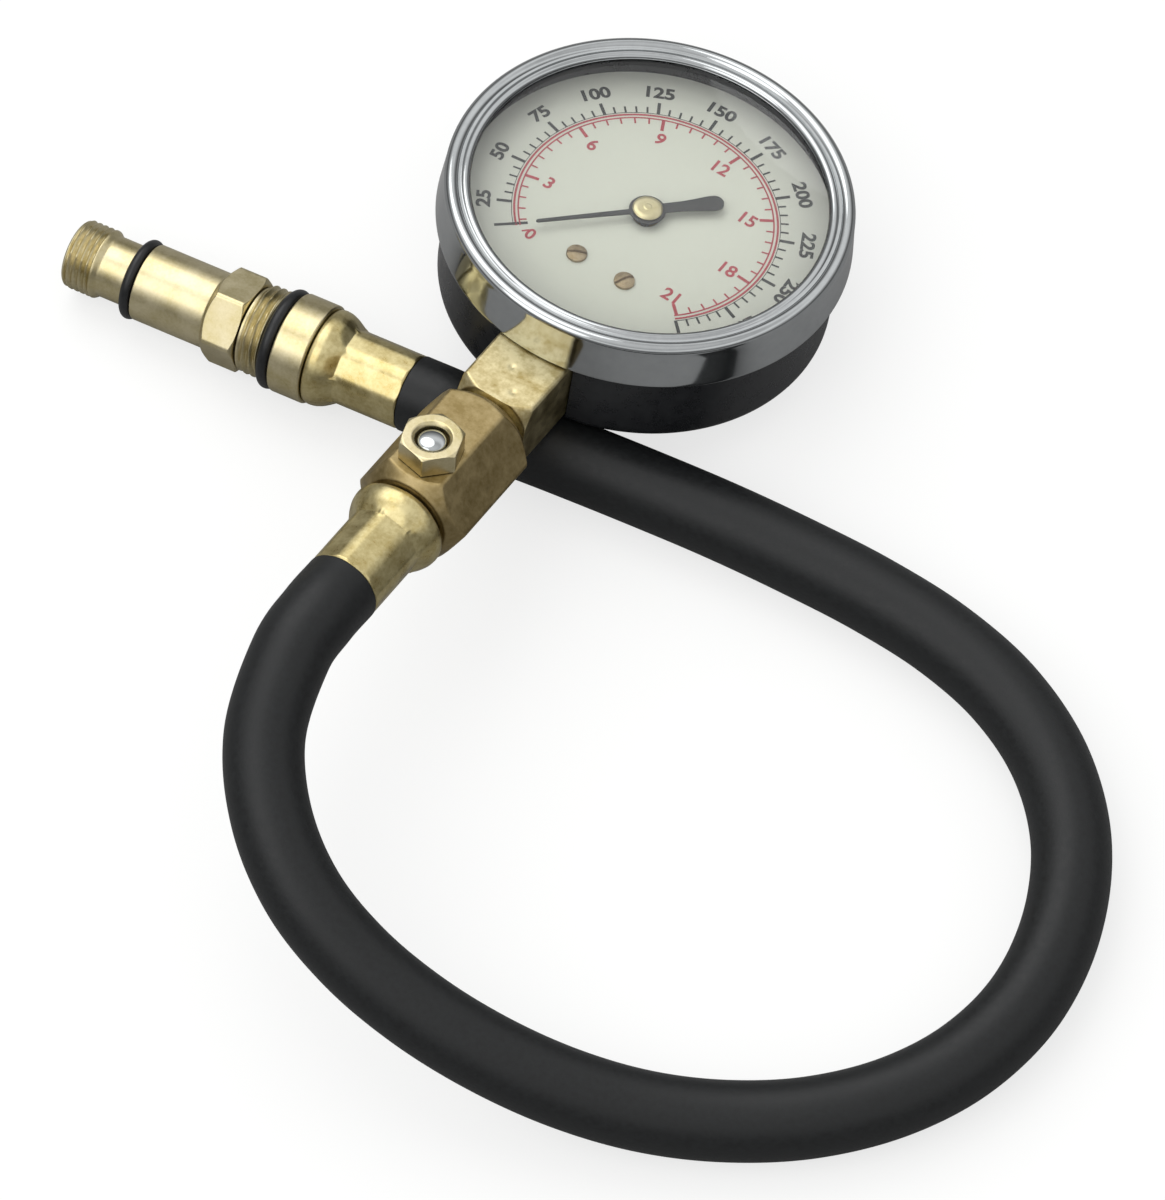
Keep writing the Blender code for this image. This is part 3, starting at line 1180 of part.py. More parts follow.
def add_check_valve(fitting):
    """The check valve in the tip: its body, the pin with its head and foot, and the spring."""
    start, end = CORE_START, CORE_START + CORE_LENGTH
    chamber = CORE_RADIUS * 0.68
    guide = CORE_PIN_RADIUS + FIT_GAP
    shelf = end - 0.0030
    turned("check_valve_body", [
        (chamber, start),
        (chamber, shelf),
        (guide, shelf),
        (guide, end),
        (CORE_RADIUS * 0.9, end),
        (CORE_RADIUS, end - 0.0003),
        (CORE_RADIUS, start),
    ][::-1], fitting, BRASS, SMALL_STEPS)
    collar_low, collar_high = start + 0.0003, start + 0.0009
    foot = end + FIT_GAP
    turned("check_valve_pin", [
        (0.0, foot + 0.0012),
        (CORE_RADIUS * 0.45, foot + 0.0012),
        (CORE_RADIUS * 0.62, foot + 0.0006),
        (CORE_RADIUS * 0.62, foot),
        (CORE_PIN_RADIUS, foot),
        (CORE_PIN_RADIUS, collar_high),
        (chamber - FIT_GAP, collar_high),
        (chamber - FIT_GAP, collar_low),
        (CORE_PIN_RADIUS, collar_low),
        (CORE_PIN_RADIUS, start * 0.5),
        (0.0, start * 0.5),
    ], fitting, STEEL, SMALL_STEPS)
    lift = CORE_WIRE + FIT_GAP * 0.5
    wire("check_valve_spring", helix(CORE_SPRING_RADIUS, collar_high + lift, shelf - lift, 4.5),
         CORE_WIRE, fitting, STEEL)


def smooth_route(points, count):
    """Points spaced evenly along a Catmull-Rom curve through the route's own points."""
    route = [Vector(p) for p in points]
    route = [2 * route[0] - route[1]] + route + [2 * route[-1] - route[-2]]
    fine = []
    per_span = 24
    for i in range(1, len(route) - 2):
        before, here, there, after = route[i - 1:i + 3]
        for j in range(per_span):
            t = j / per_span
            fine.append(0.5 * (2 * here + (there - before) * t
                               + (2 * before - 5 * here + 4 * there - after) * t * t
                               + (3 * here - before - 3 * there + after) * t * t * t))
    fine.append(route[-2])
    lengths = [0.0]
    for a, b in zip(fine, fine[1:]):
        lengths.append(lengths[-1] + (b - a).length)
    spaced, span = [], 0
    for k in range(count):
        wanted = lengths[-1] * k / (count - 1)
        while span < len(fine) - 2 and lengths[span + 1] < wanted:
            span += 1
        share = (wanted - lengths[span]) / (lengths[span + 1] - lengths[span])
        spaced.append(fine[span].lerp(fine[span + 1], share))
    return spaced


def add_hose(line, gauge_mouth, fitting, plug_mouth):
    """The rubber hose, from one ferrule's mouth round its loop to the other's."""
    bpy.context.view_layer.update()
    leaving_start, arriving_end = gauge_mouth + SEAT_GAP, plug_mouth + SEAT_GAP
    leaving = [line.matrix_world @ Vector((0.0, 0.0, leaving_start + way)) for way in (0.0, HOSE_LEAD)]
    arriving = [fitting.matrix_world @ Vector((0.0, 0.0, arriving_end + way)) for way in (HOSE_LEAD, 0.0)]
    points = smooth_route(leaving + HOSE_ROUTE + arriving, HOSE_POINTS)
    wire("hose", [tuple(p) for p in points], HOSE_RADIUS, None, RUBBER, resolution=3)


def build():
    """Builds the whole tester."""
    clear_scene()
    lift = CASE_CORNER + (CASE_RADIUS - CASE_CORNER) * math.sin(LEAN) - CASE_CORNER * math.cos(LEAN)
    gauge = empty("gauge_frame", location=(0.0, GAUGE_Y, lift), rotation=(-LEAN, 0.0, 0.0))
    line = empty("line_frame", gauge, (0.0, 0.0, AXIS_HEIGHT), (math.radians(90), 0.0, 0.0))
    block = empty("block_frame", line, rotation=(0.0, 0.0, BLOCK_TURN))
    valve = empty("valve_frame", block, (0.0, 0.0, VALVE_PLACE), (math.radians(-90), 0.0, 0.0))
    fitting = empty("fitting_frame", None, FITTING_TIP, (0.0, math.radians(90) - FITTING_RISE, FITTING_YAW))
    add_case(gauge)
    add_bezel(gauge)
    add_lens(gauge)
    add_dial(gauge)
    add_pointer(gauge)
    add_sector(gauge)
    add_link(gauge)
    add_movement(gauge)
    add_tube(gauge)
    add_stem(gauge, line)
    add_block(block, valve)
    add_release_valve(valve)
    gauge_mouth = add_ferrule("gauge_end_ferrule", line, add_gauge_nipple(line))
    add_adapter(fitting)
    plug_mouth = add_ferrule("plug_end_ferrule", fitting, add_plug_fitting(fitting))
    add_check_valve(fitting)
    add_hose(line, gauge_mouth, fitting, plug_mouth)
    apply_modifiers()


build()
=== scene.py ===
"""Compression tester gauge: its finish, print, threads, crimps, lens and hose, and the stage."""

import math

import bmesh
import bpy
import numpy as np
from mathutils import Matrix


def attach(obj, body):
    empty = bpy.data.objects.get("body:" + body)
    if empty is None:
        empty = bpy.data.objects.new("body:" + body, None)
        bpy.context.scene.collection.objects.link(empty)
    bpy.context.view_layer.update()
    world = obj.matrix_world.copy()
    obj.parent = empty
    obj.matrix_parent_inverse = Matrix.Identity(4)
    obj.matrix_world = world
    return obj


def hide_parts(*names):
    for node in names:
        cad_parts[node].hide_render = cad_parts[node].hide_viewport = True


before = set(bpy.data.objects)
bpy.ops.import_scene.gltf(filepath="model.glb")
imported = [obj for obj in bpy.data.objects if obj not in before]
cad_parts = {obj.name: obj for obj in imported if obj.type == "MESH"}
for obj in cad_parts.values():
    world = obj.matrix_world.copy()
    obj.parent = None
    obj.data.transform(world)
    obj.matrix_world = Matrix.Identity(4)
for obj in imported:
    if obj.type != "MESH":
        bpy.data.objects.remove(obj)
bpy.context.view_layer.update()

bl_info = {
    "name": "Compression Tester Gauge",
    "version": (1, 0, 0),
    "blender": (4, 5, 0),
    "location": "3D View > Sidebar > Gauge",
    "description": "Dresses the gauge head, the brass fittings and the pressure hose",
    "category": "Object",
}

# Where the pieces stand, in metres
LEAN = math.radians(12.5)
GAUGE_PLACE = (0.0, 0.0180, 0.0077236)
AXIS_HEIGHT = 0.0091
BLOCK_TURN = math.radians(4.0)
VALVE_PLACE = 0.0735
FITTING_TIP = (-0.0932, -0.0347, 0.0076)
FITTING_YAW = math.radians(5.9)
FITTING_RISE = math.radians(3.7)

# Gauge head, lengths from the case's back along the dial's normal
CASE_RADIUS = 0.0380
CASE_WALL = 0.0010
CASE_CORNER = 0.0026
CASE_RIM = 0.0234
RIM_WIDTH = 0.0005
RIM_HEIGHT = 0.0008
BEZEL_RADIUS = 0.0400
BEZEL_BACK = 0.0170
WINDOW_RADIUS = 0.0342
LENS_BOTTOM = 0.0243
LENS_TOP = 0.0260
LENS_RADIUS = 0.0381
GASKET_INNER, GASKET_OUTER = 0.0361, 0.0385
GASKET_BOTTOM, GASKET_TOP = 0.0236, 0.0241
DIAL_RADIUS = 0.0356
DIAL_TOP = 0.0194
DIAL_THICKNESS = 0.0008
DIAL_HOLE = 0.0026
SCREW_X = 0.0053
SCREW_Y = -0.0160
SCREW_HEAD = 0.00195
CASE_SCREW_X = 0.0046
CASE_SCREW_Y = -0.0315
CASE_SCREW_HEAD = 0.0020
POINTER_MIDDLE = 0.0211
POINTER_TIP = 0.0215
POINTER_TAIL = 0.0149
POINTER_DISC = 0.0035
POINTER_REST = math.radians(225.5)
HALF_THICKNESS = 0.0002

# Stem and block, lengths from the dial's centre
STEM_SIDE = 0.0154
STEM_END = 0.0530
STEM_INNER_END = 0.0330
BLOCK_FLATS = 0.0206
BLOCK_START = 0.0550
BLOCK_END = 0.0818
PORT_RADIUS = 0.0071
FERRULE_BASE = 0.0833
FERRULE_LENGTH = 0.0192
FERRULE_FLATS = 0.0147
FERRULE_STEP = 0.0045
GAS_BORE = 0.0015
BARB_HOLLOW, BARB_RIDGE = 0.0030, 0.0036
VALVE_FLATS = 0.0110
VALVE_TURN = math.radians(-14.0)
BUTTON_RADIUS = 0.0029

# Plug end, lengths from the tip
ADAPTER_SHOULDER = 0.0156
ADAPTER_FLATS = 0.0170
ADAPTER_TURN = math.radians(8.0)
HEX_START = 0.0311
HEX_END = 0.0388
COLLAR_START = 0.0468
COLLAR_END = 0.0537
PLUG_THREAD_END = 0.0440
PLUG_THREAD_RADIUS = 0.00895
TIP_THREAD_RADIUS = 0.00695
TIP_THREAD_END = 0.0064
LARGE_RING, LARGE_WIRE = 0.0101, 0.0013
SMALL_RING, SMALL_WIRE = 0.0081, 0.0011
PLUG_FERRULE_BASE = COLLAR_END + 0.0002

# The hose's route, chosen point by point along the photographed hose
HOSE_ROUTE = [
    (0.0003, -0.0976, 0.0402), (0.0047, -0.1126, 0.0374), (0.0139, -0.1243, 0.0336),
    (0.0259, -0.1322, 0.0291), (0.0396, -0.1361, 0.0245), (0.0542, -0.1370, 0.0200),
    (0.0690, -0.1356, 0.0158), (0.0835, -0.1323, 0.0121), (0.0975, -0.1271, 0.0093),
    (0.1108, -0.1199, 0.0079), (0.1232, -0.1107, 0.0077), (0.1336, -0.0989, 0.0077),
    (0.1406, -0.0851, 0.0077), (0.1433, -0.0694, 0.0077), (0.1407, -0.0529, 0.0077),
    (0.1332, -0.0375, 0.0077), (0.1214, -0.0256, 0.0077), (0.1067, -0.0180, 0.0077),
    (0.0908, -0.0145, 0.0077), (0.0743, -0.0138, 0.0077), (0.0579, -0.0147, 0.0078),
    (0.0420, -0.0163, 0.0081), (0.0262, -0.0185, 0.0083), (0.0107, -0.0211, 0.0088),
    (-0.0048, -0.0242, 0.0099),
]

# Dial print: angles in degrees from three o'clock, radii in metres
OUTER_LAST_ANGLE = -45.0
OUTER_STEP = 23.2
OUTER_LAST = 300
INNER_LAST_ANGLE = -43.8
INNER_STEP = 39.6
INNER_LAST = 21
ZERO_ANGLE = 222.4
OUTER_FOOT = 0.0253
OUTER_NUMBERS = 0.0307
INNER_FOOT = 0.0241
INNER_NUMBERS = 0.0193
INNER_ZERO = (-0.0148, -0.0172)
PRINT_LIFT = 0.00003
PRINT_THICKNESS = 0.00002

# Camera: its turn, rise and roll, its distance and the point it looks at
CAMERA_TURN = math.radians(33.63)
CAMERA_RISE = math.radians(62.25)
CAMERA_ROLL = math.radians(-0.35)
CAMERA_DISTANCE = 1.7
CAMERA_TARGET = (0.0272, -0.04123, 0.0)
LAMP_TARGET = (0.0272, -0.0412, 0.0)
FOCAL_PIXELS, PICTURE_WIDTH, SENSOR_WIDTH = 8993.0, 1165.0, 36.0

# Lamps: name, place from the target, diameter and power
LAMPS = [("soft_lamp", (-0.62, 0.40, 1.05), 1.05, 4.8), ("fill_lamp", (-0.33, -0.60, 1.00), 0.85, 2.9)]

# The surroundings' brightness by the sine of the height above the horizon: the zenith is 1
SKY = [(0.0, 0.22), (0.20, 0.14), (0.40, 0.50), (0.56, 1.0), (0.66, 1.0), (0.78, 0.60), (1.0, 0.90)]
SKY_STRENGTH = 1.16
GROUND_REACH = 3.0
GROUND_IN_REFLECTIONS = 0.32

BOX_SIDES = [(0, 1, 3, 2), (4, 6, 7, 5), (0, 4, 5, 1), (2, 3, 7, 6), (0, 2, 6, 4), (1, 5, 7, 3)]


def linear(hex_colour):
    """Turns an sRGB hex colour into linear red, green, blue and alpha."""
    value = np.array([int(hex_colour[i:i + 2], 16) / 255 for i in (1, 3, 5)])
    low = value / 12.92
    high = ((value + 0.055) / 1.055) ** 2.4
    return (*np.where(value <= 0.04045, low, high).tolist(), 1.0)


def turn_about(axis, angle):
    """A 4 by 4 array that turns about X, Y or Z."""
    return np.array(Matrix.Rotation(angle, 4, axis))


def shift(x, y, z):
    """A 4 by 4 array that moves by x, y, z."""
    return np.array(Matrix.Translation((x, y, z)))


GAUGE = shift(*GAUGE_PLACE) @ turn_about("X", -LEAN)
LINE = GAUGE @ shift(0.0, 0.0, AXIS_HEIGHT) @ turn_about("X", math.pi / 2)
BLOCK = LINE @ turn_about("Z", BLOCK_TURN)
VALVE = BLOCK @ shift(0.0, 0.0, VALVE_PLACE) @ turn_about("X", -math.pi / 2)
FITTING = (shift(*FITTING_TIP) @ turn_about("Z", FITTING_YAW)
           @ turn_about("Y", math.pi / 2 - FITTING_RISE))


def moved(points, place):
    """Points taken through a 4 by 4 array."""
    return points @ place[:3, :3].T + place[:3, 3]


def softened(profile, radius, closed=True, points=5):
    """Rounds a profile's corners: each becomes a quadratic arc that starts and ends a radius away."""
    corner = np.asarray(profile, float)
    before, after = np.roll(corner, 1, 0), np.roll(corner, -1, 0)
    back, ahead = before - corner, after - corner
    back_length = np.linalg.norm(back, axis=1, keepdims=True)
    ahead_length = np.linalg.norm(ahead, axis=1, keepdims=True)
    cut = np.minimum(radius, 0.45 * np.minimum(back_length, ahead_length))
    start, end = corner + back / back_length * cut, corner + ahead / ahead_length * cut
    t = np.linspace(0.0, 1.0, points)[None, :, None]
    arcs = (1 - t) ** 2 * start[:, None] + 2 * t * (1 - t) * corner[:, None] + t ** 2 * end[:, None]
    if not closed:
        arcs = arcs[1:-1]
        return np.concatenate([corner[:1], arcs.reshape(-1, 2), corner[-1:]])
    return arcs.reshape(-1, 2)


def filled(profile, step, closed=True):
    """Adds points along a profile so that none of its spans is longer than a step."""
    line = np.concatenate([profile, profile[:1]]) if closed else profile
    length = np.concatenate([[0.0], np.cumsum(np.linalg.norm(np.diff(line, axis=0), axis=1))])
    marks = np.unique(np.concatenate([length, np.arange(0.0, length[-1], step)]))
    keep = np.concatenate([[True], np.diff(marks) > step * 0.02])
    marks = marks[keep]
    if closed:
        marks = marks[marks < length[-1] - step * 0.02]
    return np.stack([np.interp(marks, length, line[:, axis]) for axis in (0, 1)], 1)


def lower_of(a, b, blend):
    """The lower of two radii, with the edge where they meet rounded over a blend width."""
    least = np.minimum(a, b)
    return least - blend * np.log(np.exp(-(a - least) / blend) + np.exp(-(b - least) / blend))


def flats_radius(angle, sides, across_flats, first_corner):
    """A regular prism's radius at each angle: half its flats over the cosine from the nearest flat."""
    pitch = 2 * np.pi / sides
    return across_flats / 2 / np.cos(np.mod(angle - first_corner, pitch) - pitch / 2)


def thread_depth(height, angle, pitch, depth):
    """A V thread's cut: a triangle wave of the height less the turn's share of the pitch."""
    phase = np.mod(height / pitch - angle / (2 * np.pi), 1.0)
    return depth * np.clip(1.15 * np.abs(2 * phase - 1) - 0.08, 0.0, 1.0)


def within(height, start, end, fade):
    """One between two heights, falling to nothing over a fade outside them."""
    return np.clip((height - start) / fade, 0, 1) * np.clip((end - height) / fade, 0, 1)


def made(name, points, faces, place=None, smooth_angle=38.0, weld=1e-6):
    """A piece from points and faces, welded, facing outwards and smooth up to an angle."""
    mesh = bpy.data.meshes.new(name)
    if place is not None:
        points = moved(points, place)
    mesh.from_pydata(points, [], faces)
    shape = bmesh.new()
    shape.from_mesh(mesh)
    bmesh.ops.remove_doubles(shape, verts=shape.verts, dist=weld)
    bmesh.ops.dissolve_degenerate(shape, edges=shape.edges, dist=weld)
    bmesh.ops.recalc_face_normals(shape, faces=shape.faces)
    shape.to_mesh(mesh)
    shape.free()
    mesh.shade_smooth()
    mesh.set_sharp_from_angle(angle=math.radians(smooth_angle))
    obj = bpy.data.objects.new(name, mesh)
    bpy.context.scene.collection.objects.link(obj)
    return obj


def boxed(name, low, high, place, smooth_angle):
    """A box between its lowest and its highest corner."""
    corners = [(x, y, z) for x in (low[0], high[0]) for y in (low[1], high[1]) for z in (low[2], high[2])]
    return made(name, np.array(corners), BOX_SIDES, place, smooth_angle=smooth_angle)


def ring_section(inner, outer, start, end):
    """A ring's section: its corners from the inner one at the start height round to that at the end."""
    return np.array([(inner, start), (outer, start), (outer, end), (inner, end)])


def arc(centre, height, radius, first, last, count):
    """Points of an arc round a centre, between two angles in degrees."""
    turn = np.radians(np.linspace(first, last, count))
    return np.stack([centre + radius * np.cos(turn), height + radius * np.sin(turn)], 1)


def grid_faces(rows, columns, rows_closed):
    """The quads of a grid whose columns close, and whose rows close if the profile does."""
    row = np.arange(rows if rows_closed else rows - 1)[:, None]
    column = np.arange(columns)[None, :]
    next_row, next_column = (row + 1) % rows, (column + 1) % columns
    corners = np.broadcast_arrays(row * columns + column, row * columns + next_column,
                                  next_row * columns + next_column, next_row * columns + column)
    return np.stack(corners, -1).reshape(-1, 4)


def turned(name, profile, place, steps=160, closed=True, shape=None, smooth_angle=38.0):
    """A turned piece: each (radius, height) of the profile goes round the axis. Where shape is given,
    it changes the radius and height at each angle."""
    angle = np.linspace(0.0, 2 * np.pi, steps, endpoint=False)[None, :]
    radius = np.repeat(profile[:, :1], steps, 1)
    height = np.repeat(profile[:, 1:], steps, 1)
    if shape is not None:
        radius, height = shape(radius, height, angle)
    points = np.stack([radius * np.cos(angle), radius * np.sin(angle), height], -1).reshape(-1, 3)
    return made(name, points, grid_faces(len(profile), steps, closed).tolist(), place, smooth_angle)


def carried(name, path, section, close_ends=True, up=(0.0, 0.0, 1.0)):
    """A tube: the section's circle is carried along the path, square to it, its top kept to one side."""
    along = np.gradient(path, axis=0)
    along /= np.linalg.norm(along, axis=1, keepdims=True)
    side = np.cross(along, np.asarray(up))
    side /= np.linalg.norm(side, axis=1, keepdims=True)
    top = np.cross(side, along)
    angle = np.linspace(0.0, 2 * np.pi, section[1], endpoint=False)[None, :, None]
    rings = path[:, None] + section[0] * (np.cos(angle) * side[:, None] + np.sin(angle) * top[:, None])
    points = rings.reshape(-1, 3)
    faces = grid_faces(len(path), section[1], False).tolist()
    if close_ends:
        faces.append(list(range(section[1])))
        faces.append(list(range(len(points) - section[1], len(points))))
    return made(name, points, faces, smooth_angle=60.0)


def smooth_route(points, count):
    """A Catmull-Rom curve through points: a cubic on each span, resampled at even lengths."""
    route = np.asarray(points, float)
    route = np.concatenate([[2 * route[0] - route[1]], route, [2 * route[-1] - route[-2]]])
    t = np.linspace(0.0, 1.0, 24, endpoint=False)[None, :, None]
    before, here, there, after = (route[i:len(route) - 3 + i, None] for i in range(4))
    fine = 0.5 * (2 * here + (there - before) * t + (2 * before - 5 * here + 4 * there - after) * t ** 2
                  + (3 * here - before - 3 * there + after) * t ** 3)
    fine = np.concatenate([fine.reshape(-1, 3), route[-2:-1]])
    length = np.concatenate([[0.0], np.cumsum(np.linalg.norm(np.diff(fine, axis=0), axis=1))])
    marks = np.linspace(0.0, length[-1], count)
    return np.stack([np.interp(marks, length, fine[:, axis]) for axis in range(3)], 1)


def baked(obj):
    """Gives a piece its evaluated mesh, with no modifier left on it."""
    graph = bpy.context.evaluated_depsgraph_get()
    mesh = bpy.data.meshes.new_from_object(obj.evaluated_get(graph))
    obj.modifiers.clear()
    obj.data = mesh
    return obj


def add_node(tree, kind, inputs=None, links=None, **settings):
    """Adds a node with its settings, its inputs' values and the links into it."""
    node = tree.nodes.new(kind)
    for key, value in settings.items():
        setattr(node, key, value)
    for key, value in (inputs or {}).items():
        node.inputs[key].default_value = value
    for key, socket in (links or {}).items():
        tree.links.new(socket, node.inputs[key])
    return node


def new_material(name):
    """A new material of that name without nodes, and its node tree."""
    material = bpy.data.materials.new(name)
    material.use_nodes = True
    material.node_tree.nodes.clear()
    return material, material.node_tree


def principled(tree, inputs, links=None):
    """A Principled shader joined to the material's output."""
    shader = add_node(tree, "ShaderNodeBsdfPrincipled", inputs, links)
    add_node(tree, "ShaderNodeOutputMaterial", links={"Surface": shader.outputs["BSDF"]})
    return shader


def ramp(tree, factor, stops):
    """A colour ramp of (position, colour) stops."""
    node = add_node(tree, "ShaderNodeValToRGB", links={"Fac": factor})
    elements = node.color_ramp.elements
    elements[0].position, elements[0].color = stops[0]
    elements[1].position, elements[1].color = stops[-1]
    for position, colour in stops[1:-1]:
        elements.new(position).color = colour
    return node


def grey(value):
    """A grey of that linear value."""
    return (value, value, value, 1.0)


def patterned(tree, pattern, pale, dark, stops, roughness, bump, strength, inputs):
    """Ends a material whose colour, roughness and relief all follow one pattern."""
    colour = ramp(tree, pattern, [(stops[0], linear(dark)), (stops[1], linear(pale))])
    sheen = add_node(tree, "ShaderNodeMapRange",
                     {"From Min": 0.3, "From Max": 0.7, "To Min": roughness[0], "To Max": roughness[1]},
                     {"Value": pattern})
    relief = add_node(tree, "ShaderNodeBump", {"Strength": strength, "Distance": bump}, {"Height": pattern})
    principled(tree, inputs, {"Base Color": colour.outputs["Color"], "Roughness": sheen.outputs["Result"],
                              "Normal": relief.outputs["Normal"]})


def metal(name, pale, dark, roughness, grain, blotch, bump):
    """A bare metal: a slow blotch and a fine grain change its colour, roughness and surface a little.
    grain and blotch are the sizes of the two patterns in metres."""
    material, tree = new_material(name)
    place = add_node(tree, "ShaderNodeTexCoord").outputs["Object"]
    slow = add_node(tree, "ShaderNodeTexNoise", {"Scale": 1 / blotch, "Detail": 4.0, "Roughness": 0.55},
                    {"Vector": place})
    fine = add_node(tree, "ShaderNodeTexNoise", {"Scale": 1 / grain, "Detail": 3.0, "Roughness": 0.6},
                    {"Vector": place})
    both = add_node(tree, "ShaderNodeMix", {"Factor": 0.35},
                    {"A": slow.outputs["Fac"], "B": fine.outputs["Fac"]}, data_type="FLOAT")
    patterned(tree, both.outputs["Result"], pale, dark, (0.36, 0.62), roughness, bump, 0.5, {"Metallic": 1.0})
    return material


def coating(name, pale, dark, roughness, grain, bump, specular=0.5):
    """A paint, rubber or plastic: a noise changes its colour, roughness and surface a little.
    grain is the pattern's size in metres."""
    material, tree = new_material(name)
    place = add_node(tree, "ShaderNodeTexCoord").outputs["Object"]
    noise = add_node(tree, "ShaderNodeTexNoise", {"Scale": 1 / grain, "Detail": 5.0, "Roughness": 0.6},
                     {"Vector": place})
    patterned(tree, noise.outputs["Fac"], pale, dark, (0.35, 0.65), roughness, bump, 0.4,
              {"Specular IOR Level": specular})
    return material


def dial_enamel(name):
    """Satin white enamel with painted shade: its colour greys towards the dial's edge, where the bezel keeps
    the light off.
    """
    material, tree = new_material(name)
    place = add_node(tree, "ShaderNodeTexCoord").outputs["Object"]
    apart = add_node(tree, "ShaderNodeVectorMath", links={0: place}, operation="SUBTRACT")
    apart.inputs[1].default_value = (GAUGE @ np.array([0.0, 0.0, DIAL_TOP, 1.0]))[:3]
    length = add_node(tree, "ShaderNodeVectorMath", links={0: apart.outputs["Vector"]}, operation="LENGTH")
    share = add_node(tree, "ShaderNodeMath", {1: DIAL_RADIUS}, {0: length.outputs["Value"]},
                     operation="DIVIDE")
    noise = add_node(tree, "ShaderNodeTexNoise", {"Scale": 250.0, "Detail": 5.0, "Roughness": 0.6},
                     {"Vector": place})
    # Painted shade: the colour darkens from the dial's middle out to its edge
    edge = ramp(tree, share.outputs["Value"], [
        (0.0, linear("#CCCDC0")), (0.62, linear("#C8C9BC")), (1.0, linear("#B4B4AC"))])
    relief = add_node(tree, "ShaderNodeBump", {"Strength": 0.4, "Distance": 0.000005},
                      {"Height": noise.outputs["Fac"]})
    principled(tree, {"Specular IOR Level": 0.3, "Roughness": 0.43},
               {"Base Color": edge.outputs["Color"], "Normal": relief.outputs["Normal"]})
    return material


def window_glass(name):
    """Clear window glass: it lets the light through to the dial and keeps a faint reflection."""
    material, tree = new_material(name)
    path = add_node(tree, "ShaderNodeLightPath")
    glass = add_node(tree, "ShaderNodeBsdfPrincipled", {
        "Base Color": linear("#FAFCFB"), "Roughness": 0.02, "IOR": 1.45, "Transmission Weight": 1.0})
    clear = add_node(tree, "ShaderNodeBsdfTransparent", {"Color": grey(0.97)})
    mix = add_node(tree, "ShaderNodeMixShader", links={
        0: path.outputs["Is Shadow Ray"], 1: glass.outputs["BSDF"], 2: clear.outputs["BSDF"]})
    add_node(tree, "ShaderNodeOutputMaterial", links={"Surface": mix.outputs["Shader"]})
    return material


# How each finish is made: its maker, then the pale and dark colour, the roughness, the patterns' sizes
# and the relief's depth
FINISHES = {
    # Free-cutting brass, turned: smooth, with fine tool marks that spread the highlight a little
    "turned_brass": (metal, "#D6CBA8", "#BDB083", (0.26, 0.40), 0.0006, 0.006, 0.00003),
    # Drawn brass bar with its mill face left on: mottled, dull in places, with small dents
    "drawn_brass_bar": (metal, "#DFD2A6", "#AB9864", (0.30, 0.46), 0.0009, 0.0035, 0.00008),
    # The tee block's bar: browner and duller from its soldering heat
    "heated_brass_bar": (metal, "#AC9A70", "#8A784E", (0.34, 0.52), 0.0009, 0.0035, 0.00006),
    # Worn brass of the dial screws: brown and dull
    "worn_brass": (metal, "#B3A183", "#877455", (0.42, 0.60), 0.0004, 0.0012, 0.00003),
    # Annealed brass tube, crimped: softer gold with faint handling marks
    "crimped_brass": (metal, "#D4C796", "#AE9D68", (0.24, 0.40), 0.0007, 0.004, 0.00005),
    # Clock brass for the movement: sheared sheet with a fine grain
    "sheet_brass": (metal, "#CBB377", "#B39A60", (0.30, 0.44), 0.0004, 0.004, 0.00002),
    # Drawn phosphor bronze: redder than the brass
    "phosphor_bronze": (metal, "#C08A5C", "#A06C42", (0.28, 0.42), 0.0005, 0.005, 0.00002),
    # Chromium plate on rolled steel: near mirror, with very faint waves from the rolling
    "chromium_plate": (metal, "#B5B8B9", "#AAADAE", (0.06, 0.12), 0.002, 0.012, 0.00001),
    # Bright turned steel for arbors and screws
    "turned_steel": (metal, "#B4B6B8", "#98999B", (0.24, 0.40), 0.0005, 0.003, 0.00002),
    # Stoved black enamel on pressed steel: glossy with a trace of orange peel
    "black_enamel": (coating, "#242527", "#1B1C1E", (0.24, 0.34), 0.0030, 0.00002, 0.28),
    # The dial's white enamel, with painted shade greying it towards its edge
    "white_dial_enamel": (dial_enamel,),
    "black_printing_ink": (coating, "#1B1C1D", "#141516", (0.45, 0.55), 0.001, 0.0),
    "red_printing_ink": (coating, "#A93440", "#9C2C38", (0.45, 0.55), 0.001, 0.0),
    # Matt black lacquer of the pointer
    "black_lacquer": (coating, "#121415", "#0C0D0E", (0.34, 0.46), 0.0008, 0.00001),
    # Synthetic rubber cover of the hose: extruded, matt, with a faint skin texture
    "extruded_rubber": (coating, "#191B1C", "#131415", (0.40, 0.54), 0.0011, 0.00008, 0.34),
    # Moulded nitrile rubber of the rings and seals: smoother and blacker
    "moulded_nitrile": (coating, "#17181A", "#101112", (0.30, 0.42), 0.0008, 0.00002, 0.45),
    "clear_window_glass": (window_glass,),
}
MATERIALS = {}


def finish_of(name):
    """The finish of that name, made once."""
    if name not in MATERIALS:
        maker, *values = FINISHES[name]
        MATERIALS[name] = maker(name, *values)
    return MATERIALS[name]


def dressed(obj, body, finish, *nodes, slot=None):
    """Gives a piece its finish, its body and the CAD nodes that it stands for."""
    obj.data.materials.clear()
    obj.data.materials.append(finish_of(finish))
    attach(obj, body)
    if nodes:
        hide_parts(*nodes)
    return obj


def plated_node(node, finish):
    """Gives a CAD node that stays its finish."""
    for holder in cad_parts[node].material_slots:
        holder.material = finish_of(finish)


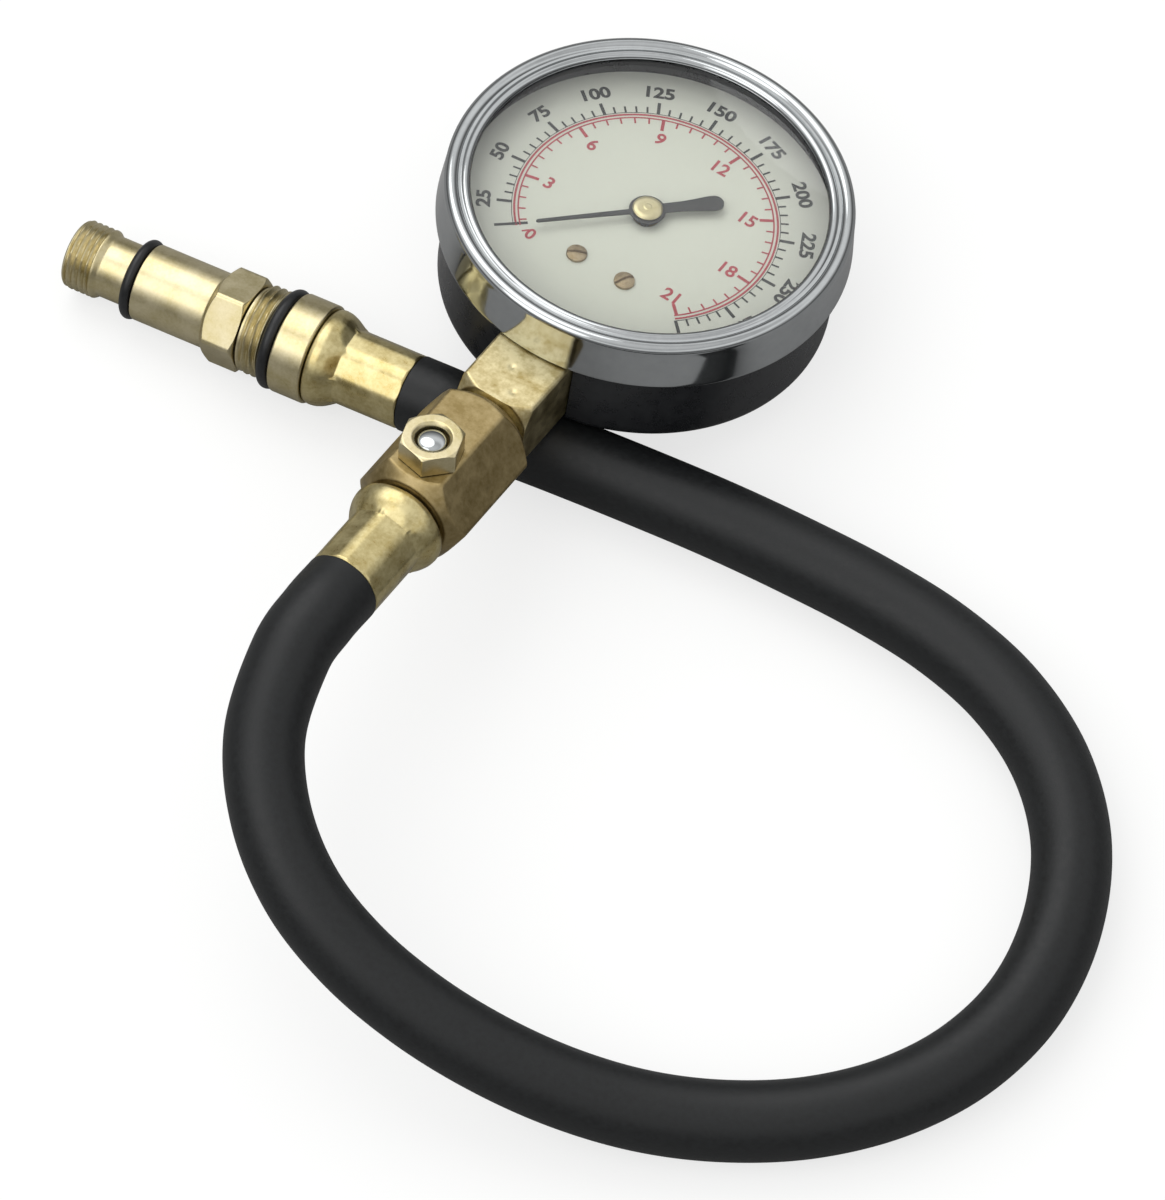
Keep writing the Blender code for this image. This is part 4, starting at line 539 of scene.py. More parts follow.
class GaugeSettings(bpy.types.PropertyGroup):
    """Sizes that a user may change."""

    edge: bpy.props.FloatProperty(
        name="Edge radius", description="How far the machined edges are rounded",
        default=0.00035, min=0.0, unit="LENGTH", precision=5)
    needle_width: bpy.props.FloatProperty(
        name="Needle width", description="The pointer's width beside its disc",
        default=0.0013, min=0.0, unit="LENGTH", precision=5)
    thread_18: bpy.props.FloatProperty(
        name="18 mm thread pitch", description="The distance between the fitting's threads",
        default=0.0015, min=0.0001, unit="LENGTH", precision=5)
    thread_14: bpy.props.FloatProperty(
        name="14 mm thread pitch", description="The distance between the adapter's threads",
        default=0.00125, min=0.0001, unit="LENGTH", precision=5)


class HoseSettings(bpy.types.PropertyGroup):
    """The hose's sizes."""

    radius: bpy.props.FloatProperty(
        name="Radius", description="The hose's outer radius",
        default=0.00755, min=0.0, unit="LENGTH", precision=5)
    rings: bpy.props.IntProperty(
        name="Rings", description="How many rings of points the hose has along its length",
        default=420, min=40)


class StageSettings(bpy.types.PropertyGroup):
    """The light and the ground."""

    lamp_power: bpy.props.FloatProperty(
        name="Lamp power", description="The power of the large soft lamp", default=1.0, min=0.0)
    shadow_lift: bpy.props.FloatProperty(
        name="Shadow lift", description="How far the ground's shadow is lightened",
        default=0.72, min=0.0, max=1.0)
    ground_colour: bpy.props.FloatVectorProperty(
        name="Ground colour", description="The colour of the ground",
        default=linear("#F7F8F6")[:3], subtype="COLOR", min=0.0, max=1.0)


class GAUGE_OT_case(bpy.types.Operator):
    """The pressed case, with its slot for the stem"""

    bl_idname = "gauge.case"
    bl_label = "Case"

    def execute(self, context):
        radius, wall, corner = CASE_RADIUS, CASE_WALL, CASE_CORNER
        profile = np.array([
            (0.0, wall), (radius - corner, wall), (radius - wall, corner), (radius - wall, CASE_RIM),
            (radius + RIM_WIDTH, CASE_RIM), (radius + RIM_WIDTH, CASE_RIM - RIM_HEIGHT),
            (radius, CASE_RIM - RIM_HEIGHT), (radius, 0.0), (0.0, 0.0)])
        curve = softened(profile, 0.0022, closed=False, points=9)
        case = turned("case_cup", filled(curve, 0.0015, closed=False), GAUGE, 192, closed=False)
        half = STEM_SIDE / 2 + 0.0003
        cutters = [boxed("stem_slot", (-half, -0.0420, AXIS_HEIGHT - half),
                         (half, -STEM_INNER_END, AXIS_HEIGHT + half), GAUGE, 10.0)]
        cone = np.array([(0.0, 0.0020), (0.0014, 0.0020), (0.0014, 0.0009), (0.0023, 0.0), (0.0023, -0.0010),
                         (0.0, -0.0010)])
        for side in (-1, 1):
            place = GAUGE @ shift(side * CASE_SCREW_X, CASE_SCREW_Y, 0.0)
            cutters.append(turned("screw_hole", cone, place, 48, closed=False))
        for cutter in cutters:
            cut = case.modifiers.new("hole", "BOOLEAN")
            cut.object, cut.operation, cut.solver = cutter, "DIFFERENCE", "EXACT"
        baked(case)
        case.data.shade_smooth()
        case.data.set_sharp_from_angle(angle=math.radians(38.0))
        for cutter in cutters:
            bpy.data.objects.remove(cutter, do_unlink=True)
        dressed(case, "gauge", "black_enamel", "case", slot="black_paint")
        return {"FINISHED"}


class GAUGE_OT_bezel(bpy.types.Operator):
    """The rolled bezel: a low lip round the window, a valley, a broad roll, and the hooked side"""

    bl_idname = "gauge.bezel"
    bl_label = "Bezel"

    def execute(self, context):
        top, out = LENS_TOP + 0.0002, BEZEL_RADIUS
        lip = arc(0.03525, top - 0.00012, 0.00100, 170, 40, 14)
        roll = arc(0.03785, top - 0.00026, 0.00145, 148, 0, 20)
        side = softened(np.array([
            (0.03930, top - 0.00040), (0.03935, top - 0.0012), (out, BEZEL_BACK + 0.0009),
            (out, BEZEL_BACK + 0.0003), (out - 0.0006, BEZEL_BACK), (0.03820, BEZEL_BACK),
            (0.03820, BEZEL_BACK + 0.0006), (out - 0.0008, BEZEL_BACK + 0.0008), (0.03840, top - 0.0004),
            (0.03800, top), (WINDOW_RADIUS, top)]), 0.0003, closed=False)
        curve = filled(np.concatenate([lip, roll, side]), 0.0008)
        bezel = turned("bezel_ring", curve, GAUGE, 256, smooth_angle=50.0)
        dressed(bezel, "gauge", "chromium_plate", "bezel", slot="chrome")
        return {"FINISHED"}


class GAUGE_OT_lens(bpy.types.Operator):
    """The flat lens with its ground edge, and the gasket under it"""

    bl_idname = "gauge.lens"
    bl_label = "Lens"

    def execute(self, context):
        profile = ring_section(0.0, LENS_RADIUS, LENS_TOP, LENS_BOTTOM)
        lens = turned("lens_pane", softened(profile, 0.0003, closed=False), GAUGE, 160, closed=False)
        dressed(lens, "gauge", "clear_window_glass", "lens", slot="lens_glass")
        ring = ring_section(GASKET_INNER, GASKET_OUTER, GASKET_TOP, GASKET_BOTTOM)
        gasket = turned("gasket_ring", softened(ring, 0.0001), GAUGE, 160)
        dressed(gasket, "gauge", "moulded_nitrile", "lens_gasket", slot="rubber")
        return {"FINISHED"}


def tick_solid(angles, inner, outer, half_width):
    """Thin printed bars: each runs from its inner to its outer radius at its angle."""
    angle = np.radians(np.asarray(angles, float))
    inner = np.broadcast_to(inner, angle.shape)
    outer = np.broadcast_to(outer, angle.shape)
    half = np.broadcast_to(half_width, angle.shape)
    out = np.stack([np.cos(angle), np.sin(angle)], -1)
    aside = np.stack([-np.sin(angle), np.cos(angle)], -1)
    flat = np.stack([out * way[:, None] + side * aside * half[:, None]
                     for way, side in ((inner, -1), (outer, -1), (outer, 1), (inner, 1))], 1)
    low = DIAL_TOP + PRINT_LIFT
    both = np.stack([np.concatenate([flat, np.full(flat.shape[:2] + (1,), height)], -1)
                     for height in (low, low + PRINT_THICKNESS)], 1).reshape(-1, 3)
    one = np.array([(3, 2, 1, 0), (4, 5, 6, 7), (0, 1, 5, 4), (1, 2, 6, 5), (2, 3, 7, 6), (3, 0, 4, 7)])
    faces = (np.arange(len(angle))[:, None, None] * 8 + one[None]).reshape(-1, 4)
    return both, faces.tolist()


def printed(name, groups, finish, slot):
    """One printed piece from several groups of points and faces."""
    points = np.concatenate([group[0] for group in groups])
    starts = np.cumsum([0] + [len(group[0]) for group in groups])
    faces = [[index + start for index in face]
             for start, group in zip(starts, groups) for face in group[1]]
    piece = made(name, points, faces, GAUGE, smooth_angle=20.0, weld=1e-8)
    return dressed(piece, "gauge", finish, slot=slot)


def numeral(text, height, centre, turn, weight, width):
    """A number as a thin solid: its digits' outlines, raised, turned and centred on a point."""
    curve = bpy.data.curves.new("numeral", "FONT")
    curve.body = text
    curve.size = 1.0
    curve.fill_mode = "BOTH"
    curve.resolution_u = 4
    curve.offset = weight / height * 0.7
    curve.extrude = 0.01
    holder = bpy.data.objects.new("numeral", curve)
    bpy.context.scene.collection.objects.link(holder)
    graph = bpy.context.evaluated_depsgraph_get()
    mesh = bpy.data.meshes.new_from_object(holder.evaluated_get(graph))
    points = np.empty(len(mesh.vertices) * 3)
    mesh.vertices.foreach_get("co", points)
    points = points.reshape(-1, 3)
    faces = [list(face.vertices) for face in mesh.polygons]
    bpy.data.objects.remove(holder, do_unlink=True)
    bpy.data.meshes.remove(mesh)
    low, high = points.min(0), points.max(0)
    flat = (points[:, :2] - (low[:2] + high[:2]) / 2) * height / (high[1] - low[1])
    flat[:, 0] *= width
    cos, sin = math.cos(turn), math.sin(turn)
    flat = flat @ np.array([(cos, sin), (-sin, cos)]) + np.asarray(centre)
    lift = DIAL_TOP + PRINT_LIFT + np.where(points[:, 2] > 0, PRINT_THICKNESS, 0.0)
    return np.concatenate([flat, lift[:, None]], 1), faces


def arc_bar(inner, outer, start, end, steps=220):
    """A printed arc between two radii and two angles in degrees: a flat section carried round."""
    low = DIAL_TOP + PRINT_LIFT
    section = ring_section(inner, outer, low, low + PRINT_THICKNESS)
    angle = np.radians(np.linspace(start, end, steps))[:, None]
    points = np.stack([section[:, 0] * np.cos(angle), section[:, 0] * np.sin(angle),
                       np.broadcast_to(section[:, 1], (steps, 4))], -1).reshape(-1, 3)
    last = steps * 4
    faces = grid_faces(steps, 4, False).tolist() + [list(range(4)), list(range(last - 4, last))]
    return points, faces


class GAUGE_OT_dial(bpy.types.Operator):
    """The dial plate and its print: two scales, their ticks, ring and numbers"""

    bl_idname = "gauge.dial"
    bl_label = "Dial"

    def execute(self, context):
        low = DIAL_TOP - DIAL_THICKNESS
        profile = ring_section(DIAL_HOLE, DIAL_RADIUS, DIAL_TOP, low)
        plate = turned("dial_plate", softened(profile, 0.0001), GAUGE, 192)
        dressed(plate, "gauge", "white_dial_enamel", "dial", slot="dial_paint")

        end = ZERO_ANGLE + 1.0
        values = np.arange(25, OUTER_LAST + 1, 5)
        angles = OUTER_LAST_ANGLE + (OUTER_LAST - values) / 25 * OUTER_STEP
        major = values % 25 == 0
        black = [
            arc_bar(OUTER_FOOT, 0.02543, OUTER_LAST_ANGLE, end),
            tick_solid(angles[major], OUTER_FOOT, 0.0282, 0.00032),
            tick_solid(angles[~major], OUTER_FOOT, 0.0269, 0.00019),
            tick_solid([ZERO_ANGLE], 0.0226, 0.0290, 0.00030),
        ]
        for value, angle in zip(values[major], np.radians(angles[major])):
            centre = (OUTER_NUMBERS * math.cos(angle), OUTER_NUMBERS * math.sin(angle))
            black.append(numeral(str(value), 0.0028, centre, angle - math.pi / 2, 0.00014, 1.15))
        printed("scale_outer", black, "black_printing_ink", "pointer_paint")

        steps = np.arange(0, 2 * INNER_LAST + 1) / 2
        angles = INNER_LAST_ANGLE + (INNER_LAST - steps) / 3 * INNER_STEP
        used = angles < ZERO_ANGLE + 6
        steps, angles = steps[used], angles[used]
        major = steps % 3 == 0
        red = [
            arc_bar(0.02465, 0.02505, OUTER_LAST_ANGLE, end),
            arc_bar(0.02395, 0.02425, OUTER_LAST_ANGLE, end),
            tick_solid(angles[major], 0.0214, INNER_FOOT, 0.00032),
            tick_solid(angles[~major], 0.0227, INNER_FOOT, 0.00017),
        ]
        for value in range(3, INNER_LAST + 1, 3):
            angle = math.radians(INNER_LAST_ANGLE + (INNER_LAST - value) / 3 * INNER_STEP)
            centre = (INNER_NUMBERS * math.cos(angle), INNER_NUMBERS * math.sin(angle))
            red.append(numeral(str(value), 0.0029, centre, 0.0, 0.00009, 1.0))
        red.append(numeral("0", 0.0027, INNER_ZERO, 0.0, 0.00009, 1.0))
        printed("scale_inner", red, "red_printing_ink", "pointer_paint")
        return {"FINISHED"}


def domed_screw(name, place, node, depth=0.0004, slot_half=0.00027, rows=26):
    """A dial screw: its head is a dome with the slot sunk where the face lies near the middle line."""
    head, bottom, top = SCREW_HEAD, DIAL_TOP - 0.0040, DIAL_TOP + 0.0009
    share = np.linspace(0.0, 1.0, rows)
    face = np.stack([head * share, np.full(rows, top)], 1)
    under, shank = top - depth * 2.2, head * 0.45
    rest = np.array([(head, top - (top - bottom) * 0.02), (head, under), (shank, under), (shank, bottom),
                     (0.0, bottom)])
    profile = np.concatenate([face, rest])

    def shape(radius, height, angle):
        on_face = (np.arange(len(profile)) < rows)[:, None]
        crown = top - depth * (radius / head) ** 2.6
        across = np.abs(radius * np.sin(angle))
        sunk = np.clip((slot_half + 0.00006 - across) / 0.00012, 0.0, 1.0) * depth * 1.2
        rim = (radius >= head * 0.99) & ~np.isclose(height, under)
        return radius, np.where(on_face, crown - sunk, np.where(rim, top - depth, height))

    screw = turned(name, profile, place, 160, closed=False, shape=shape, smooth_angle=50.0)
    return dressed(screw, "gauge", "worn_brass", node, slot="brass")


def countersunk_screw(name, place, node, rows=34):
    """A case screw: a flat head that tapers to its shank, with a slot across its face."""
    face = np.linspace(0.0, CASE_SCREW_HEAD, rows)
    profile = np.concatenate([np.stack([face, np.full(rows, 0.0001)], 1), [
        (CASE_SCREW_HEAD, 0.00025), (0.0011, 0.0010), (0.0011, 0.0068), (0.0, 0.0068)]])

    def shape(radius, height, angle):
        slot = np.clip((0.00036 - np.abs(radius * np.sin(angle))) / 0.00012, 0.0, 1.0)
        return radius, height + np.where(height < 0.00011, 0.0004 * slot, 0.0)

    screw = turned(name, profile, place, 160, closed=False, shape=shape)
    return dressed(screw, "gauge", "turned_steel", node, slot="steel")


class GAUGE_OT_screws(bpy.types.Operator):
    """The two dial screws and the two screws in the back of the case"""

    bl_idname = "gauge.screws"
    bl_label = "Screws"

    def execute(self, context):
        for side, word, turn in ((-1, "left", 0.5), (1, "right", 1.1)):
            place = GAUGE @ shift(side * SCREW_X, SCREW_Y, 0.0) @ turn_about("Z", turn)
            domed_screw("dial_screw_face_" + word, place, "dial_screw_" + word)
            place = GAUGE @ shift(side * CASE_SCREW_X, CASE_SCREW_Y, 0.0) @ turn_about("Z", turn)
            countersunk_screw("case_screw_face_" + word, place, "case_screw_" + word)
        return {"FINISHED"}


class GAUGE_OT_pointer(bpy.types.Operator):
    """The pointer with its paddle, and the brass hub"""

    bl_idname = "gauge.pointer"
    bl_label = "Pointer"

    def execute(self, context):
        settings = context.scene.gauge_settings
        tip, tail, disc = POINTER_TIP, POINTER_TAIL, POINTER_DISC
        round_part = disc * np.sin(np.linspace(-1.5, 1.5, 60))
        along = np.unique(np.concatenate([np.linspace(-tail, tip, 260), round_part]))
        needle = np.interp(along, [0.0, tip - 0.0003, tip], [settings.needle_width / 2, 0.00036, 0.00016])
        paddle = np.interp(-along, [0.0, 0.0070, 0.0095, 0.0122, 0.0134, 0.0142, 0.0147, tail],
                           [0.0011, 0.0012, 0.00145, 0.00180, 0.00180, 0.00150, 0.00085, 0.00005])
        round_half = np.sqrt(np.clip(disc ** 2 - along ** 2, 0.0, None))
        half = np.maximum(np.where(along > 0, needle, paddle), round_half)[:, None]
        sides = 24
        turn = np.linspace(0.0, 2 * np.pi, sides, endpoint=False)[None, :]
        cos, sin = np.cos(turn), np.sin(turn)
        across = half * np.sign(cos) * np.abs(cos) ** 0.5
        rise = HALF_THICKNESS * np.sign(sin) * np.abs(sin) ** 0.5 + POINTER_MIDDLE
        x = along[:, None] * math.cos(POINTER_REST) - across * math.sin(POINTER_REST)
        y = along[:, None] * math.sin(POINTER_REST) + across * math.cos(POINTER_REST)
        points = np.stack([x, y, np.broadcast_to(rise, x.shape)], -1).reshape(-1, 3)
        faces = grid_faces(len(along), sides, False).tolist()
        faces += [list(range(sides)), list(range(len(points) - sides, len(points)))]
        needle_piece = made("pointer_needle", points, faces, GAUGE, smooth_angle=35.0)
        dressed(needle_piece, "hand", "black_lacquer", "pointer", slot="pointer_paint")

        profile = np.array([
            (0.0, 0.02208), (0.0006, 0.02208), (0.0008, 0.02202), (0.0020, 0.02202), (0.0026, 0.02190),
            (0.0029, 0.02165), (0.0029, 0.02150), (0.0016, 0.02150), (0.0016, 0.0200), (0.0009, 0.0200),
            (0.0009, 0.0219), (0.0, 0.0219)])
        hub = turned("hub_button", softened(profile, 0.00018, closed=False), GAUGE, 96, closed=False)
        dressed(hub, "hand", "turned_brass", "pointer_hub", slot="brass")
        return {"FINISHED"}


def small_dents(radius, height, angle, dents, depth, width):
    """Lowers a turned surface in small round dents at their (angle, height) places."""
    for place, at in dents:
        around = np.mod(angle - place + np.pi, 2 * np.pi) - np.pi
        distance = (around * radius) ** 2 + (height - at) ** 2
        radius = radius - depth * np.exp(-distance / width ** 2)
    return radius


class GAUGE_OT_stem(bpy.types.Operator):
    """The square stem with its turned end and thread, and its socket in the case"""

    bl_idname = "gauge.stem"
    bl_label = "Stem"

    def execute(self, context):
        edge = context.scene.gauge_settings.edge
        corner = STEM_SIDE * 0.73
        profile = np.array([
            (GAS_BORE, STEM_INNER_END), (corner, STEM_INNER_END), (corner, STEM_END - 0.0026),
            (0.0084, STEM_END), (0.0061, STEM_END), (0.0061, STEM_END + 0.0014), (0.0068, STEM_END + 0.0022),
            (0.0066, 0.0647), (0.0060, 0.0655), (GAS_BORE, 0.0655)])

        def shape(radius, height, angle):
            flats = flats_radius(angle, 4, STEM_SIDE, math.pi / 4)
            flats = np.minimum(flats, STEM_SIDE / 2 * math.sqrt(2) - edge)
            radius = lower_of(radius, flats, edge * 0.22)
            cut = thread_depth(height, angle, 0.0014, 0.0006) * within(height, 0.0550, 0.0650, 0.0004)
            radius = radius - np.where(radius > 0.0055, cut, 0.0)
            dents = [(1.72, 0.0447), (1.28, 0.0498)]
            return small_dents(radius, height, angle, dents, 0.00022, 0.00055), height

        stem = turned("stem_bar", filled(softened(profile, edge), 0.00035), LINE, 288, shape=shape)
        dressed(stem, "gauge", "drawn_brass_bar", "stem", slot="brass")

        for name, low, high in (
                ("stem_socket", (-0.0080, -0.0078, 0.0250), (0.0080, 0.0059, 0.0332)),
                ("movement_seat", (-0.0076, -0.0076, 0.0190), (0.0076, -0.0021, 0.0252))):
            socket = boxed(name, low, high, LINE, 30.0)
            rounding = socket.modifiers.new("edge", "BEVEL")
            rounding.width, rounding.segments = edge, 3
            dressed(baked(socket), "gauge", "drawn_brass_bar", slot="brass")
        return {"FINISHED"}


class GAUGE_OT_block(bpy.types.Operator):
    """The tee block: a hexagon bar with chamfered, turned ends and its ports"""

    bl_idname = "gauge.block"
    bl_label = "Tee block"

    def execute(self, context):
        edge = context.scene.gauge_settings.edge
        corner = BLOCK_FLATS / 2 * 1.2
        profile = np.array([
            (PORT_RADIUS, BLOCK_END), (0.0090, BLOCK_END), (corner, BLOCK_END - 0.0034),
            (corner, BLOCK_START + 0.0034), (0.0090, BLOCK_START), (PORT_RADIUS, BLOCK_START),
            (PORT_RADIUS, BLOCK_START + 0.0110), (0.0025, BLOCK_START + 0.0110), (0.0025, BLOCK_END - 0.0045),
            (PORT_RADIUS, BLOCK_END - 0.0045)])

        def shape(radius, height, angle):
            flats = flats_radius(angle, 6, BLOCK_FLATS, 0.0)
            flats = np.minimum(flats, BLOCK_FLATS / math.sqrt(3) - edge * 0.5)
            radius = lower_of(radius, flats, edge * 0.25)
            dents = [(0.5, 0.0600), (0.9, 0.0745), (0.25, 0.0690)]
            return small_dents(radius, height, angle, dents, 0.00010, 0.00045), height

        block = turned("block_body", filled(softened(profile, edge), 0.00035), BLOCK, 288, shape=shape)
        dressed(block, "gauge", "heated_brass_bar", "tee_block", slot="brass")
        return {"FINISHED"}


class GAUGE_OT_release_valve(bpy.types.Operator):
    """The release valve's hexagon body, and the plated button, its stem and its seal"""

    bl_idname = "gauge.release_valve"
    bl_label = "Release valve"

    def execute(self, context):
        face = BLOCK_FLATS / 2 + 0.0002
        top, bottom = face + 0.0045, face - 0.0030
        floor = top - 0.0050
        profile = np.array([
            (0.0038, top), (0.0056, top), (0.0068, top - 0.0006), (0.0068, face), (0.0042, face),
            (0.0042, bottom), (0.0014, bottom), (0.0014, floor), (0.0033, floor), (0.0033, top - 0.0006)])

        def shape(radius, height, angle):
            flats = flats_radius(angle, 6, VALVE_FLATS, VALVE_TURN)
            return lower_of(radius, flats, 0.00006), height

        curve = filled(softened(profile, 0.00022), 0.00025)
        body = turned("release_hexagon", curve, VALVE, 240, shape=shape)
        dressed(body, "gauge", "turned_brass", "release_valve_body", slot="brass")

        head_bottom, head_top = floor + 0.0024, top - 0.0003
        share = np.linspace(0.0, 1.0, 26)
        dome = np.stack([BUTTON_RADIUS * np.sin(share * np.pi / 2),
                         head_top - 0.0010 * (1 - np.cos(share * np.pi / 2)) - 0.0003 * share ** 8], 1)
        foot_top, neck = bottom - 0.0009, head_bottom - 0.00008
        rest = np.array([(0.0028, neck), (0.0011, neck), (0.0011, foot_top), (0.0018, foot_top),
                         (0.0018, foot_top - 0.0006), (0.0, foot_top - 0.0006)])
        profile = np.concatenate([dome, rest])
        button = turned("plated_button", profile, VALVE, 96, closed=False, smooth_angle=50.0)
        dressed(button, "button", "chromium_plate", "release_button", slot="chrome")
        seal = ring_section(0.0012, 0.0022, bottom - 0.0001, foot_top + 0.0001)
        ring = turned("seal_washer", softened(seal, 0.0002), VALVE, 64)
        dressed(ring, "button", "moulded_nitrile", "release_seal", slot="rubber")
        coil_spring("release_coil", VALVE, 0.0021, floor + 0.00035, head_bottom - 0.00035, 3.5, (0.00025, 12),
                    "release_spring")
        return {"FINISHED"}


def coil_spring(name, place, radius, bottom, top, turns, wire, node):
    """A coil spring: round wire carried along a circle whose height grows with the angle."""
    angle = np.linspace(0.0, 2 * np.pi * turns, int(turns * 40))
    height = bottom + (top - bottom) * angle / angle[-1]
    path = np.stack([radius * np.cos(angle), radius * np.sin(angle), height], 1)
    spring = carried(name, moved(path, place), wire, up=place[:3, 2])
    return dressed(spring, "gauge", "turned_steel", node, slot="steel")


def ferrule(name, base, place, node, turn=math.radians(10.0)):
    """A crimped ferrule: its sleeve is the lower of the turned radius and the eight jaws' flats. The
    metal that the jaws push up stands between them as small bumps."""
    step, mouth = base + FERRULE_STEP, base + FERRULE_LENGTH
    profile = np.array([
        (0.0063, mouth), (0.00725, mouth), (0.00755, mouth - 0.0004), (0.00755, step + 0.0013),
        (0.0082, step + 0.0004), (0.0090, step - 0.0010), (0.0095, base + 0.0022), (0.00965, base + 0.0009),
        (0.0094, base + 0.0001), (0.0090, base), (0.0066, base), (0.0066, base + 0.0012),
        (0.0063, base + 0.0020)])

    def shape(radius, height, angle):
        pressed = np.clip((height - base - 0.0022) / 0.0006, 0.0, 1.0)
        run_out = np.clip(step + 0.0012 - height, 0.0, None) * 1.55
        flats = flats_radius(angle, 8, FERRULE_FLATS + run_out, turn)
        jaw = lower_of(radius, flats, 0.00005)
        outer = radius > 0.0066
        radius = np.where(outer, radius * (1 - pressed) + jaw * pressed, radius)
        ridge = np.mod(angle - turn + np.pi / 8, np.pi / 4) - np.pi / 8
        bump = np.exp(-((ridge * radius) / 0.00045) ** 2 - ((height - step - 0.0011) / 0.00055) ** 2)
        return radius + np.where(outer, 0.00022 * bump, 0.0), height

    curve = filled(softened(profile, 0.0004), 0.00025)
    piece = turned(name, curve, place, 288, shape=shape, smooth_angle=45.0)
    return dressed(piece, "gauge", "crimped_brass", node, slot="brass")


def barbs(tail):
    """The profile of a nipple's barbed end, from its bore at the tail to the last barb but one."""
    return [(GAS_BORE, tail), (BARB_HOLLOW, tail), (BARB_RIDGE, tail - 0.0030), (BARB_HOLLOW, tail - 0.0034),
            (BARB_RIDGE, tail - 0.0080), (BARB_HOLLOW, tail - 0.0084)]


def rubber_ring(name, outer, wire, middle, place, node):
    """An O-ring: a circle of the wire's radius carried round the axis."""
    turn = np.linspace(0.0, 2 * np.pi, 40, endpoint=False)
    profile = np.stack([outer - wire + wire * np.cos(turn), middle + wire * np.sin(turn)], 1)
    ring = turned(name, profile, place, 160, smooth_angle=80.0)
    return dressed(ring, "gauge", "moulded_nitrile", node, slot="rubber")


class GAUGE_OT_fittings(bpy.types.Operator):
    """The gauge-end nipple and both ferrules"""

    bl_idname = "gauge.fittings"
    bl_label = "Nipple and ferrules"

    def execute(self, context):
        flange = BLOCK_END + 0.0003
        neck, tail = flange + 0.0010, FERRULE_BASE + FERRULE_LENGTH
        profile = np.array(barbs(tail) + [
            (BARB_RIDGE, neck + 0.0028), (BARB_RIDGE, neck + 0.0022), (0.0064, neck + 0.0012),
            (0.0064, neck), (0.0079, neck), (0.0079, flange), (0.0067, flange), (0.0065, flange - 0.0040),
            (0.0061, flange - 0.0044), (GAS_BORE, flange - 0.0044)])
        nipple = turned("nipple_gauge_end", filled(softened(profile, 0.00025), 0.0006), LINE, 128)
        dressed(nipple, "gauge", "turned_brass", "gauge_end_nipple", slot="brass")
        ferrule("ferrule_gauge_end", FERRULE_BASE, LINE, "gauge_end_ferrule")
        ferrule("ferrule_plug_end", PLUG_FERRULE_BASE, FITTING, "plug_end_ferrule")
        return {"FINISHED"}


class GAUGE_OT_plug_fitting(bpy.types.Operator):
    """The 18 mm fitting with its thread and collar, and the large ring"""

    bl_idname = "gauge.plug_fitting"
    bl_label = "18 mm fitting"

    def execute(self, context):
        settings = context.scene.gauge_settings
        face, seat = HEX_END + 0.0003, LARGE_RING - 2 * LARGE_WIRE - 0.0002
        tail, neck = PLUG_FERRULE_BASE + FERRULE_LENGTH, COLLAR_END + 0.0016
        profile = np.array(barbs(tail) + [
            (BARB_RIDGE, neck + 0.0012), (BARB_RIDGE, neck + 0.0008), (0.0064, neck),
            (0.0064, COLLAR_END), (0.0097, COLLAR_END), (0.0100, COLLAR_END - 0.0003),
            (0.0100, COLLAR_START + 0.0003), (0.0097, COLLAR_START), (seat, COLLAR_START),
            (seat, PLUG_THREAD_END), (0.00855, PLUG_THREAD_END),
            (PLUG_THREAD_RADIUS, PLUG_THREAD_END - 0.0004), (PLUG_THREAD_RADIUS, face + 0.0006),
            (0.00835, face), (0.0052, face), (0.0052, HEX_END + 0.0078), (GAS_BORE, HEX_END + 0.0078)])

        def shape(radius, height, angle):
            cut = thread_depth(height, angle, settings.thread_18, 0.00075)
            cut = cut * within(height, face - 0.0003, PLUG_THREAD_END - 0.0002, 0.0004)
            return radius - np.where(radius > 0.0080, cut, 0.0), height

        curve = filled(softened(profile, 0.0002), 0.00014)
        fitting = turned("fitting_18mm", curve, FITTING, 224, shape=shape, smooth_angle=45.0)
        dressed(fitting, "gauge", "turned_brass", "plug_fitting_18mm", slot="brass")
        rubber_ring("ring_large", LARGE_RING, LARGE_WIRE, COLLAR_START - 0.0014, FITTING, "large_o_ring")
        return {"FINISHED"}


